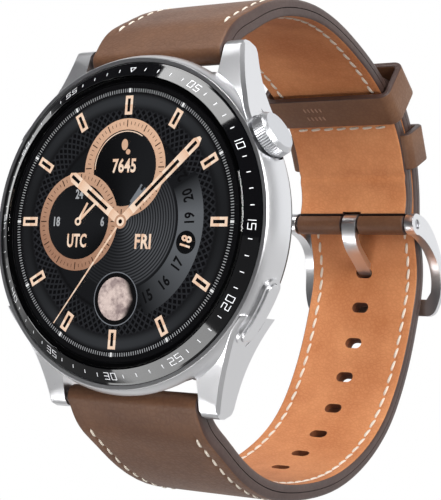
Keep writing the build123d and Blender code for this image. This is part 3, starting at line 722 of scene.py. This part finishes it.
def keeper_band(size, radius, wall, centre, deep, cut_below=None):
    """Ring band in mm: x across, z outwards, y along the strap, with softened edges."""
    bm = bmesh.new()
    bmesh.ops.create_grid(bm, x_segments=1, y_segments=1, size=0.5)
    bmesh.ops.scale(bm, vec=(*size, 1), verts=bm.verts[:])
    bmesh.ops.bevel(bm, geom=bm.verts[:], offset=radius, affect="VERTICES", segments=8, profile=0.5,
                    material=-1)
    ring = bmesh.ops.inset_region(bm, faces=bm.faces[:], thickness=wall, depth=0, use_boundary=True,
                                  use_even_offset=True)["faces"]
    bmesh.ops.delete(bm, geom=[f for f in bm.faces if f not in ring], context="FACES_ONLY")
    given_depth(bm, deep)
    bmesh.ops.translate(bm, vec=(0, centre, -deep / 2), verts=bm.verts[:])
    if cut_below is not None:
        cut = bmesh.ops.bisect_plane(bm, geom=bm.verts[:] + bm.edges[:] + bm.faces[:],
                                     plane_co=(0, cut_below, 0), plane_no=(0, -1, 0),
                                     clear_outer=True)["geom_cut"]
        bmesh.ops.holes_fill(bm, edges=[g for g in cut if isinstance(g, bmesh.types.BMEdge)], sides=0)
    bmesh.ops.recalc_face_normals(bm, faces=bm.faces[:])
    rims = [e for e in bm.edges if e.calc_face_angle(0) > math.radians(60)]
    bmesh.ops.bevel(bm, geom=rims, offset=0.28, offset_type="OFFSET", affect="EDGES", segments=3, profile=0.5,
                    material=-1)
    bmesh.ops.rotate(bm, cent=(0, 0, 0), matrix=Matrix(((1, 0, 0), (0, 0, 1), (0, 1, 0))), verts=bm.verts[:])
    for f in bm.faces:
        f.normal_update()
        f.material_index = int(abs(f.normal.y) > 0.6)
    return bm


def keeper(name, bm, s, body):
    """Seats a keeper's band on the short half and finishes it."""
    bmesh.ops.transform(bm, matrix=seat(SHORT, s, 0), verts=bm.verts[:])
    return finish_piece(name, bm, [KEEPER_LEATHER, EDGE_PAINT], body)


free_keeper = keeper("free_keeper_leather", keeper_band((23.6, 8.4), 1.7, 1.1, 1.25, 6.0), FREE_S, "keeper")
fixed_keeper = keeper("fixed_keeper_leather", keeper_band((23.0, 6.1), 1.3, 1.15, 2.15, 6.0, cut_below=-0.87),
                      FIXED_S, "upper_strap")
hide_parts("free_keeper")
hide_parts("fixed_keeper")
print("keepers", [len(p.data.polygons) for p in (free_keeper, fixed_keeper)])

# %% [markdown]
# The free keeper's seam is a hair-wide cut where its two ends meet, and the ladder stitches that hold it
# lie in two shallow recesses across the cut. Both are taken out with boxes.

# %% Seam of the free keeper
SEAM_X, SEAM_OFF = -2.6, 2.95
TO_SEAT = Matrix.Scale(1000, 4)      # a cutter is in metres already, and a seat takes mm


def seam_cutter(low, high, s, slant):
    """Box in the seam's place on the wrist side of the free keeper."""
    cutter = box_cutter("seam_cut", low, high)
    cutter.data.transform(seat(SHORT, s, SEAM_OFF, SEAM_X, math.radians(slant), -1) @ TO_SEAT)
    return cutter


cut_away(free_keeper, [seam_cutter((-0.06, -3.2, -0.3), (0.06, 3.2, 0.3), FREE_S, 2)]
         + [seam_cutter((-1.9, -0.55, -0.12), (1.9, 0.55, 0.3), FREE_S + row, 4) for row in (-1.0, 1.0)])
SEAM_STITCH = stitch_shape(1.15, 0.32, 0.3)
sew("keeper_seam_stitches", SEAM_STITCH,
    [seat(SHORT, FREE_S + row, 2.9, SEAM_X + 0.72 * i, math.radians(-14), -1) for row in (-1.0, 1.0)
     for i in range(-2, 3)], BROWN_THREAD, "keeper")

# %% [markdown]
# ## The lit dial
# The dial of a smartwatch is a display: rings, hands and numbers are light, not metal. Each drawn element
# is a flat sheet a few hundredths of a millimetre thick, just under the crystal, with a material that glows
# in its own colour. Sheets are drawn looking at the dial, x to 3 o'clock and y to 12, and then stood up
# into place. Each layer lies a little nearer the glass than the one it covers.

# %% Glowing finishes
SCREEN, LAYER = 9.925, 0.008         # height of the dial's ground over the case back, and step to each layer


def polar(tree):
    """Distance from the dial's centre in mm, clock angle in radians, and x and z in mm, as sockets."""
    parts = add_node(tree, "SeparateXYZ", i0=object_spot(tree))
    x, z = (calc(tree, "MULTIPLY", parts.outputs[axis], 1000.0) for axis in ("X", "Z"))
    radius = calc(tree, "SQRT", calc(tree, "MULTIPLY_ADD", x, x, calc(tree, "MULTIPLY", z, z)))
    return radius, calc(tree, "ARCTAN2", x, z), x, z


def glow(name, colour, strength=1.08):
    """Display light of one colour; returns the material, its tree and shader."""
    finish, tree, shader = new_finish(name, (0, 0, 0, 1), 0.6, Specular_IOR_Level=0.0, Emission_Color=colour,
                                      Emission_Strength=strength)
    return finish, tree, shader


ROSE_GLOW, tree, shader = glow("rose_glow", srgb(238, 200, 172))
_, _, x, z = polar(tree)
slope = add_node(tree, "MapRange", i0=calc(tree, "MULTIPLY_ADD", x, 0.5, z), i1=-9.0, i2=13.0).outputs[0]
fine = add_node(tree, "TexNoise", Vector=object_spot(tree), Scale=1800.0)
tone = calc(tree, "MULTIPLY_ADD", fine.outputs["Fac"], 0.25, calc(tree, "MULTIPLY", slope, 0.8), clamp=True)
link_up(tree, shader, Emission_Color=blend_colours(tree, tone, srgb(150, 108, 86), srgb(226, 184, 154)))

PALE_GLOW, tree, shader = glow("pale_rose_glow", srgb(246, 216, 190))
radius = polar(tree)[0]
away = calc(tree, "FRACT", calc(tree, "MULTIPLY", radius, 0.45))
link_up(tree, shader, Emission_Color=blend_colours(tree, away, srgb(250, 226, 204), srgb(232, 190, 160)))

GREY_GLOW, tree, shader = glow("date_arc_grey", srgb(92, 95, 99))
turn = calc(tree, "MULTIPLY", polar(tree)[1], 180 / math.pi)
rise = add_node(tree, "MapRange", i0=turn, i1=62.0, i2=84.0).outputs[0]
fall = add_node(tree, "MapRange", i0=turn, i1=158.0, i2=108.0).outputs[0]
link_up(tree, shader, Emission_Color=blend_colours(tree, calc(tree, "MULTIPLY", rise, fall), srgb(22, 23, 25),
                                                   srgb(96, 99, 103)))


def flat_glow(name, colour, dim=0.8):
    """Display light of one colour with the faint unevenness of a lit panel."""
    finish, tree, shader = glow(name, colour)
    uneven = add_node(tree, "TexNoise", Vector=object_spot(tree), Scale=260.0).outputs["Fac"]
    shade = tuple(c * dim for c in colour[:3]) + (1.0,)
    link_up(tree, shader, Emission_Color=blend_colours(tree, uneven, shade, colour))
    return finish


WHITE_GLOW = flat_glow("white_glow", srgb(240, 240, 240))
TICK_GLOW = flat_glow("tick_glow", srgb(176, 178, 181))
DARK_INK = flat_glow("dark_ink", srgb(12, 12, 13))
BROWN_INK = flat_glow("brown_ink", srgb(66, 46, 36))
TOOL_GREY = flat_glow("tool_grey", srgb(122, 126, 132))

# %% [markdown]
# The ground of the dial is drawn in its material: concentric grooves in the middle, a lattice of diamonds
# as a ring further out, and a soft band of light outside that. All are functions of the distance from the
# centre and the angle round it.

# %% Ground of the dial
def band(tree, value, rise_from, rise_to, fall_from, fall_to):
    """1 between two limits and 0 outside, with soft edges."""
    up = add_node(tree, "MapRange", {"interpolation_type": "SMOOTHSTEP"}, i0=value, i1=rise_from, i2=rise_to)
    down = add_node(tree, "MapRange", {"interpolation_type": "SMOOTHSTEP"}, i0=value, i1=fall_from,
                    i2=fall_to, i3=1.0, i4=0.0)
    return calc(tree, "MULTIPLY", up.outputs[0], down.outputs[0])


def ripple(tree, value, times, shift, swing, middle):
    """Sine wave over a value, swinging round a middle."""
    wave = calc(tree, "SINE", calc(tree, "MULTIPLY_ADD", value, times, shift))
    return calc(tree, "MULTIPLY_ADD", wave, swing, middle)


def from_line(tree, value):
    """Distance to the middle of the whole step that a value is in: 0 to 0.5."""
    return calc(tree, "ABSOLUTE", calc(tree, "SUBTRACT", calc(tree, "FRACT", value), 0.5))


GROUND, tree, shader = glow("dial_ground", srgb(10, 10, 11))
radius, angle, _, _ = polar(tree)
GROOVE_PITCH, DIAMONDS, DIAMOND_PITCH = 0.41, 92, 1.12
groove = ripple(tree, radius, 2 * math.pi / GROOVE_PITCH, 0.0, 0.5, 0.5)
facing = ripple(tree, angle, 2.0, -2.4, 0.35, 0.45)
in_middle = band(tree, radius, 0.4, 0.8, 8.6, 9.0)
grooves = calc(tree, "MULTIPLY", calc(tree, "MULTIPLY", groove, facing), in_middle)
turns = calc(tree, "MULTIPLY", angle, DIAMONDS / 2 / math.pi)
rows = calc(tree, "MULTIPLY", radius, 1 / DIAMOND_PITCH)
leaning_one_way = from_line(tree, calc(tree, "ADD", turns, rows))
leaning_other_way = from_line(tree, calc(tree, "SUBTRACT", rows, turns))
diamond = calc(tree, "LESS_THAN", calc(tree, "MAXIMUM", leaning_one_way, leaning_other_way), 0.34)
in_ring = band(tree, radius, 11.6, 12.4, 14.6, 15.2)
halo = band(tree, radius, 14.6, 16.0, 16.4, 17.2)
halo_side = calc(tree, "MULTIPLY_ADD", calc(tree, "COSINE", calc(tree, "MULTIPLY", angle, 2.0)), 0.3, 0.55)
colour = blend_colours(tree, calc(tree, "MULTIPLY", halo, halo_side), srgb(12, 12, 13), srgb(54, 56, 59))
colour = blend_colours(tree, band(tree, radius, 0.0, 0.1, 11.2, 11.8), colour, srgb(22, 23, 25))
colour = blend_colours(tree, in_ring, colour, srgb(37, 38, 41))
colour = blend_colours(tree, calc(tree, "MULTIPLY", in_ring, diamond), colour, srgb(7, 7, 8))
colour = blend_colours(tree, grooves, colour, srgb(92, 94, 98))
link_up(tree, shader, Emission_Color=colour)
FACE_GLOW, tree, shader = glow("subdial_ground", srgb(10, 10, 11))
sweep = ripple(tree, polar(tree)[1], 3.0, 0.0, 0.5, 0.5)
link_up(tree, shader, Emission_Color=blend_colours(tree, sweep, srgb(8, 8, 9), srgb(26, 27, 29)))

# %% [markdown]
# Rings come from an edge that is spun round, bars from a one-face grid, and writing from a text curve that
# is turned to faces. `onto_dial` then gives the flat faces a thickness and stands them up under the glass.

# %% Flat shapes for the dial
def sector(bm, inner, outer, start=0.0, stop=360.0, centre=(0, 0), steps=None):
    """Ring or part of one, from a spun edge; clock angles in degrees, clockwise from 12."""
    a = math.radians(90 - start)
    ends = [bm.verts.new((centre[0] + r * math.cos(a), centre[1] + r * math.sin(a), 0))
            for r in (inner, outer)]
    rim = bm.edges.new(ends)
    swept = stop - start
    bmesh.ops.spin(bm, geom=ends + [rim], cent=(*centre, 0), axis=(0, 0, 1), angle=-math.radians(swept),
                   steps=steps or max(6, round(swept / 4)), use_merge=swept >= 360)


def bar(bm, length, width, radius, clock, centre=(0, 0), taper=1.0):
    """Bar that points outwards, its middle at a radius and clock angle."""
    made = bmesh.ops.create_grid(bm, x_segments=1, y_segments=1, size=0.5)["verts"]
    for v in made:
        v.co.x *= width * (taper if v.co.y > 0 else 1)
        v.co.y = v.co.y * length + radius
    turn = Matrix.Translation((*centre, 0)) @ Matrix.Rotation(-math.radians(clock), 4, "Z")
    bmesh.ops.transform(bm, matrix=turn, verts=made)


def writing(bm, text, height, centre, turn=0.0, narrow=0.72, bold=0.03):
    """Adds plain text as flat faces, so high and centred on a point, turned clockwise."""
    curve = bpy.data.curves.new("writing", "FONT")
    curve.body, curve.offset, curve.align_x, curve.resolution_u = text, bold, "CENTER", 3
    curve.space_character = 1.06
    holder = bpy.data.objects.new("writing", curve)
    bpy.context.scene.collection.objects.link(holder)
    bpy.context.view_layer.update()
    mesh = bpy.data.meshes.new_from_object(holder)
    ys = [v.co.y for v in mesh.vertices]
    scale = height / (max(ys) - min(ys))
    to_middle = Matrix.Translation((0, -(max(ys) + min(ys)) / 2, 0))
    mesh.transform(Matrix.Translation((*centre, 0)) @ Matrix.Rotation(-math.radians(turn), 4, "Z")
                   @ Matrix.Diagonal((scale * narrow, scale, 1, 1)) @ to_middle)
    bm.from_mesh(mesh)
    bpy.data.objects.remove(holder)
    bpy.data.meshes.remove(mesh)


def onto_dial(name, bm, level, finish, thin=0.006):
    """Gives flat faces a thickness, stands them up at their level under the glass and finishes the piece."""
    bmesh.ops.remove_doubles(bm, verts=bm.verts[:], dist=0.0005)
    bmesh.ops.recalc_face_normals(bm, faces=bm.faces[:])
    given_depth(bm, thin)
    stand = Matrix.Translation((0, -(SCREEN + LAYER * level) * MM, 0)) @ Matrix.Rotation(math.pi / 2, 4, "X")
    bmesh.ops.transform(bm, matrix=stand @ Matrix.Scale(MM, 4), verts=bm.verts[:])
    return finish_piece(name, bm, [finish], "case", sharp=30)


def ring(name, level, finish, inner, outer, centre=(0, 0), steps=72, start=0.0, stop=360.0):
    """A ring, an arc or, with an inner radius of 0, a disc, as one piece of the dial."""
    bm = bmesh.new()
    sector(bm, inner, outer, start, stop, centre, steps)
    onto_dial(name, bm, level, finish)


def bars(name, level, finish, each):
    """Several bars as one piece of the dial; each gives the arguments of one bar."""
    bm = bmesh.new()
    for one in each:
        bar(bm, *one)
    onto_dial(name, bm, level, finish)


def words(name, level, finish, each):
    """Several bits of writing as one piece; each gives text, height, centre and, if need be, the rest."""
    bm = bmesh.new()
    for one in each:
        writing(bm, *one)
    onto_dial(name, bm, level, finish)

# %% [markdown]
# The minute track has five fine ticks to the minute and a bright dot at each hour. Inside it stand the hour
# markers, framed bars with a dark middle.

# %% Ground, minute track and hour markers
TRACK, MARKERS = 17.45, 15.47        # radii of the minute track and of the hour markers
HOURS = range(0, 360, 30)
ring("dial_ground", 0, GROUND, 0.0, 18.4, steps=120)
bars("minute_track", 1, TICK_GLOW, [(0.48, 0.1, TRACK, i * 1.2) for i in range(300) if i % 25])
bars("hour_dots", 1, WHITE_GLOW, [(0.55, 0.34, TRACK, clock) for clock in HOURS])
bars("hour_markers", 1, PALE_GLOW, [(2.55, 1.22, MARKERS, clock) for clock in HOURS])
bars("hour_marker_slots", 2, DARK_INK, [(1.75, 0.46, MARKERS, clock) for clock in HOURS])

# %% [markdown]
# The date runs on an arc at the right: seven day numbers, of which today's stands on a dark round patch.
# The numbers are turned so that they read along the arc.

# %% Date arc
TODAY, TODAY_CLOCK, DAY_STEP, DAY_RADIUS = 18, 104, 16, 10.95


def day_place(day):
    """Clock angle of a day number and its place on the arc."""
    clock = TODAY_CLOCK - DAY_STEP * (day - TODAY)
    r = math.radians(clock)
    return clock, (DAY_RADIUS * math.sin(r), DAY_RADIUS * math.cos(r))


ring("date_arc", 1, GREY_GLOW, 9.2, 13.1, start=60, stop=158, steps=None)
other_days = []
for day in (15, 16, 17, 19, 20, 21):
    clock, place = day_place(day)
    other_days.append((str(day), 1.6, place, clock + 180, 0.78))
words("date_numbers", 2, DARK_INK, other_days)
clock, place = day_place(TODAY)
ring("today_patch", 2, FACE_GLOW, 0.0, 1.5, place, steps=40)
words("today_number", 3, PALE_GLOW, [(str(TODAY), 1.65, place, clock + 180, 0.78)])
print("today at", clock, "degrees")

# %% [markdown]
# Two small dials: steps at the top, a second time zone at the left, which lies over the first. Each is a
# gold ring with ticks round a dark face.

# %% Small dials
def small_dial(name, centre, level):
    """Dark face, gold ring and its ticks, longer and wider at each fifth."""
    ring(name + "_face", level, FACE_GLOW, 0.0, 5.12, centre, steps=90)
    ring(name + "_ring", level, ROSE_GLOW, 5.08, 6.6, centre, steps=90)
    bars(name + "_ticks", level + 1, BROWN_INK,
         [(*((0.45, 0.08) if i % 5 else (0.95, 0.15)), 5.95, i * 6, centre) for i in range(60)])


def clock_and_length(tip, centre=(0, 0)):
    """Clock angle in degrees and length of a hand whose tip is at a place."""
    dx, dy = tip[0] - centre[0], tip[1] - centre[1]
    return math.degrees(math.atan2(dx, dy)), math.hypot(dx, dy)


STEPS_AT, ZONE_AT = (0.0, 7.1), (-7.1, 0.0)
small_dial("steps", STEPS_AT, 2)
small_dial("zone", ZONE_AT, 4)
ring("steps_progress", 3, PALE_GLOW, 4.82, 4.95, STEPS_AT, start=-92, stop=32, steps=None)
words("steps_number", 3, PALE_GLOW,
      [("7645", 1.95, (-0.05, 7.4), 0, 0.76), ("FRI", 1.95, (3.85, -2.6), 0, 0.76)])
bm = bmesh.new()
SOLE_Y = 10.2
sector(bm, 0.0, 0.52, centre=(-0.2, SOLE_Y), steps=20)
for v in bm.verts:
    v.co.y = SOLE_Y + (v.co.y - SOLE_Y) * 1.45
sector(bm, 0.0, 0.36, centre=(0.42, 9.22), steps=20)
onto_dial("steps_sole", bm, 3, ROSE_GLOW)
words("zone_hours", 5, TICK_GLOW,
      [("18", 1.3, (-10.85, 0.0)), ("6", 1.3, (-3.0, 0.0)), ("24", 1.3, (-7.2, 3.7))])
words("zone_name", 5, PALE_GLOW, [("UTC", 1.85, (-7.1, -2.56), 0, 0.66)])
zone_hands = []
for tip in ((-5.7, 2.5), (-4.4, 2.4)):
    clock, length = clock_and_length(tip, ZONE_AT)
    zone_hands.append((length - 0.5, 0.42, length / 2 + 0.25, clock, ZONE_AT, 0.75))
bars("zone_hands", 6, PALE_GLOW, zone_hands)
ring("zone_hub", 7, PALE_GLOW, 0.26, 0.55, ZONE_AT, steps=24)
print("small dials at", STEPS_AT, ZONE_AT)

# %% [markdown]
# The moon is a round window with the moon in its middle. Its seas are two sizes of noise, and it is a
# little past full, so its right edge is in shadow.

# %% Moon window
MOON_AT = (0.1, -10.15)
MOON_GLOW, tree, shader = glow("moon_glow", srgb(204, 184, 178))
_, _, x, z = polar(tree)
spot = object_spot(tree)
seas = add_node(tree, "TexNoise", Vector=spot, Scale=520.0, Detail=5.0, Roughness=0.62).outputs["Fac"]
craters = add_node(tree, "TexVoronoi", Vector=spot, Scale=1900.0).outputs["Distance"]
light = add_node(tree, "MapRange", i0=seas, i1=0.42, i2=0.58).outputs[0]
light = calc(tree, "MULTIPLY_ADD", craters, 0.35, calc(tree, "MULTIPLY", light, 0.75), clamp=True)
colour = blend_colours(tree, light, srgb(136, 118, 118), srgb(226, 206, 198))
from_middle = calc(tree, "ABSOLUTE", calc(tree, "ADD", z, -MOON_AT[1]))
bulge = calc(tree, "MULTIPLY_ADD", from_middle, 0.42, x)
dark_side = add_node(tree, "MapRange", {"interpolation_type": "SMOOTHSTEP"}, i0=bulge, i1=2.0, i2=3.1)
link_up(tree, shader,
        Emission_Color=blend_colours(tree, dark_side.outputs[0], colour, srgb(14, 12, 12)))
ring("moon_window", 3, DARK_INK, 0.0, 3.6, MOON_AT)
ring("moon_rim", 4, TOOL_GREY, 3.42, 3.55, MOON_AT)
ring("moon", 4, MOON_GLOW, 0.0, 2.85, MOON_AT)
print("moon at", MOON_AT)

# %% [markdown]
# The hands are framed bars with dark slots, like the markers. The second hand is a thin needle with a grey
# counterweight shaped like a small spanner.

# %% Hands
def hand(name, tip, root_width, end_width, shoulder, slots, level):
    """Framed hand from near the centre to its tip, with dark slots between pairs of radii."""
    clock, length = clock_and_length(tip)
    root = 0.6
    bars(name, level, PALE_GLOW,
         [(length - shoulder - root, root_width, (root + length - shoulder) / 2, clock, (0, 0),
           end_width / root_width),
          (shoulder, end_width, length - shoulder / 2, clock, (0, 0), 0.3)])
    bars(name + "_slots", level + 1, DARK_INK,
         [(high - low, 0.46, (low + high) / 2, clock) for low, high in slots])


hand("hour_hand", (-9.0, 6.4), 1.25, 1.45, 0.7, ((2.9, 7.2), (9.0, 10.6)), 6)
hand("minute_hand", (11.85, 10.79), 1.15, 1.35, 0.9, ((3.1, 11.7), (13.4, 15.2)), 6)
clock, needle = clock_and_length((-9.97, -13.7))
bars("second_hand", 8, PALE_GLOW, [(needle - 0.6, 0.3, (needle + 0.6) / 2, clock, (0, 0), 0.5)])
back_clock = clock + 180
bars("second_hand_tail", 5, TOOL_GREY,
     [(2.3, 0.5, 1.8, back_clock), (2.2, 1.0, 4.0, back_clock), (0.7, 0.28, 5.4, back_clock - 3.8),
      (0.7, 0.28, 5.4, back_clock + 3.8)])
ring("hand_hub", 8, ROSE_GLOW, 0.0, 0.95, steps=48)
ring("hand_hub_cap", 9, PALE_GLOW, 0.3, 0.62, steps=48)
ring("hand_hub_pin", 9, DARK_INK, 0.0, 0.31, steps=48)
print("second hand", round(needle, 1), "mm")

# %% [markdown]
# ## Marks on the minute ring
# The sloping ring round the crystal carries fine minute ticks and squared numbers every five minutes. They
# are drawn flat, as strokes, and then wrapped onto the slope: across becomes the angle, up becomes the
# slope. The lower numbers are turned over so that they stay upright.

# %% Squared numbers and ticks
SLOPE = ((19.42, 10.535), (21.08, 9.435))    # radius and height at the inner and the outer edge
STROKES = {"0": "abcdef", "1": "bc", "2": "abged", "3": "abgcd", "4": "fgbc", "5": "afgcd"}
SEGMENTS = {"a": ((0, 2), (1, 2)), "b": ((1, 1), (1, 2)), "c": ((1, 0), (1, 1)), "d": ((0, 0), (1, 0)),
            "e": ((0, 0), (0, 1)), "f": ((0, 1), (0, 2)), "g": ((0, 1), (1, 1))}
# The white marks on the ceramic ring also glow faintly: a painted glow that keeps them bright on the black
# ceramic.
RING_WHITE_PAINTED_GLOW = moulded("ring_white_painted_glow", srgb(232, 233, 236), 0.4, 0.05, Emission_Color=srgb(232, 233, 236),
                     Emission_Strength=0.2)


def stroke(bm, one, two, width):
    """Flat straight stroke between two points."""
    one, two = Vector((*one, 0)), Vector((*two, 0))
    made = bmesh.ops.create_grid(bm, x_segments=1, y_segments=1, size=0.5)["verts"]
    ahead = (two - one).normalized()
    beside = Vector((-ahead.y, ahead.x, 0))
    length = (two - one).length + width
    for v in made:
        v.co = (one + two) / 2 + ahead * v.co.x * length + beside * v.co.y * width


def wrap(verts, clock, flip):
    """Wraps flat marks, in mm with their middle at the origin, onto the slope at a clock angle."""
    (r0, h0), (r1, h1) = SLOPE
    middle, run = (r0 + r1) / 2, math.hypot(r1 - r0, h1 - h0)
    for v in verts:
        u, up, lift = v.co
        if flip:
            u, up = -u, -up
        t = 0.5 + up / run
        r, h = r1 + (r0 - r1) * (1 - t), h1 + (h0 - h1) * (1 - t)
        a = math.radians(clock) + u / middle
        r += lift * (h0 - h1) / run
        h += lift * (r1 - r0) / run
        v.co = Vector((r * math.sin(a), -h, r * math.cos(a))) * MM


def ring_mark(minute):
    """Flat mark of one minute: a triangle at 0, a number at each fifth and a tick elsewhere."""
    mark = bmesh.new()
    if minute == 0:
        left, right, low = (-0.42, 0.34), (0.42, 0.34), (0, -0.4)
        for one, two in ((left, right), (left, low), (right, low)):
            stroke(mark, one, two, 0.11)
    elif minute % 5:
        stroke(mark, (0, -0.22), (0, 0.22), 0.11)
    else:
        for place, digit in zip((-0.62, 0.62), f"{minute:02d}"):
            for key in STROKES[digit]:
                one, two = (((p[0] - 0.5) * 0.72 + place * 0.92, (p[1] - 1) * 0.5) for p in SEGMENTS[key])
                stroke(mark, one, two, 0.1)
    return mark


bm = bmesh.new()
for minute in range(60):
    mark = ring_mark(minute)
    bmesh.ops.translate(mark, vec=(0, 0, 0.004), verts=mark.verts[:])
    given_depth(mark, 0.008)
    wrap(mark.verts, minute * 6, flip=100 < minute * 6 < 260)
    flat = bpy.data.meshes.new("mark")
    mark.to_mesh(flat)
    bm.from_mesh(flat)
    mark.free()
    bpy.data.meshes.remove(flat)
ring_marks = finish_piece("minute_ring_marks", bm, [RING_WHITE_PAINTED_GLOW], "case", sharp=30)
print("ring marks", len(ring_marks.data.polygons), "faces")

# %% [markdown]
# ## Steel parts with broken edges
# No edge of a finished watch case is knife-sharp: each is polished to a narrow bevel that catches the
# light. The CAD solids have true sharp edges, so the steel that shows is copied, its triangles are merged
# back to faces, and its sharp edges are bevelled, by 0.03 mm on the crown up to 0.14 mm on the buckle.
# Weighted normals keep the flat faces flat.

# %% Break the edges
def break_edges(node, size, finish, body, sharper=30):
    """Copy of a CAD part whose sharp edges are bevelled by a size in mm; it takes the part's place."""
    bm = bmesh.new()
    bm.from_mesh(NODES[node].data)
    bmesh.ops.remove_doubles(bm, verts=bm.verts[:], dist=1e-6)
    bmesh.ops.dissolve_limit(bm, angle_limit=math.radians(1), verts=bm.verts[:], edges=bm.edges[:])
    edges = [e for e in bm.edges if e.is_manifold and e.calc_face_angle(0) > math.radians(sharper)]
    bmesh.ops.bevel(bm, geom=edges, offset=size * MM, offset_type="OFFSET", affect="EDGES", segments=2,
                    profile=0.5, clamp_overlap=True, material=-1)
    piece = finish_piece(node + "_finished", bm, [finish], body, sharp=35)
    piece.modifiers.new("flat faces", "WEIGHTED_NORMAL").keep_sharp = True
    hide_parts(node)
    print(piece.name, len(edges), "edges broken")
    return piece


break_edges("front_case", 0.08, SATIN_STEEL, "case")
break_edges("crown_cap", 0.03, SHADED_CROWN_STEEL, "crown", 20)
break_edges("side_button", 0.06, SATIN_STEEL, "button")
break_edges("buckle_frame", 0.14, SATIN_STEEL, "buckle")
break_edges("buckle_tongue", 0.14, POLISHED_STEEL, "tongue")

# %% [markdown]
# ## Hard parts
# The CAD solids of the glass, the plastic and the parts inside are right as they are, so they stay and only
# get their finish.

# %% Give the CAD parts their finish
FINISH = {
    SMALL_STEEL: ["case_screws", "vibration_motor", "crown_tube", "crown_stem", "crown_clip", "crown_spring",
                  "button_plunger", "button_clip", "button_spring", "buckle_bar"]
                 + [f"{end}_bar_{part}" for end in ("upper", "lower")
                    for part in ("tube", "fixed_pin", "release_pin", "spring")],
    BACK_SHELL: ["back_cover"],
    BLACK_RUBBER: ["crystal_gasket", "case_seal", "crown_seal"],
    INNER_PLASTIC: ["inner_frame", "speaker", "crown_switch", "button_switch", "crown_washer"],
    BOARD_GREEN: ["sensor_board", "main_board"],
    COPPER: ["charging_coil", "antenna"],
    FOIL: ["battery"],
    CRYSTAL_GLASS: ["crystal"],
    SENSOR_GLASS: ["sensor_window"],
    BLACK_CERAMIC: ["bezel_ring", "display_panel"],
}
for finish, names in FINISH.items():
    for name in names:
        NODES[name].data.materials.clear()
        NODES[name].data.materials.append(finish)
print("finished CAD parts", sum(len(names) for names in FINISH.values()))
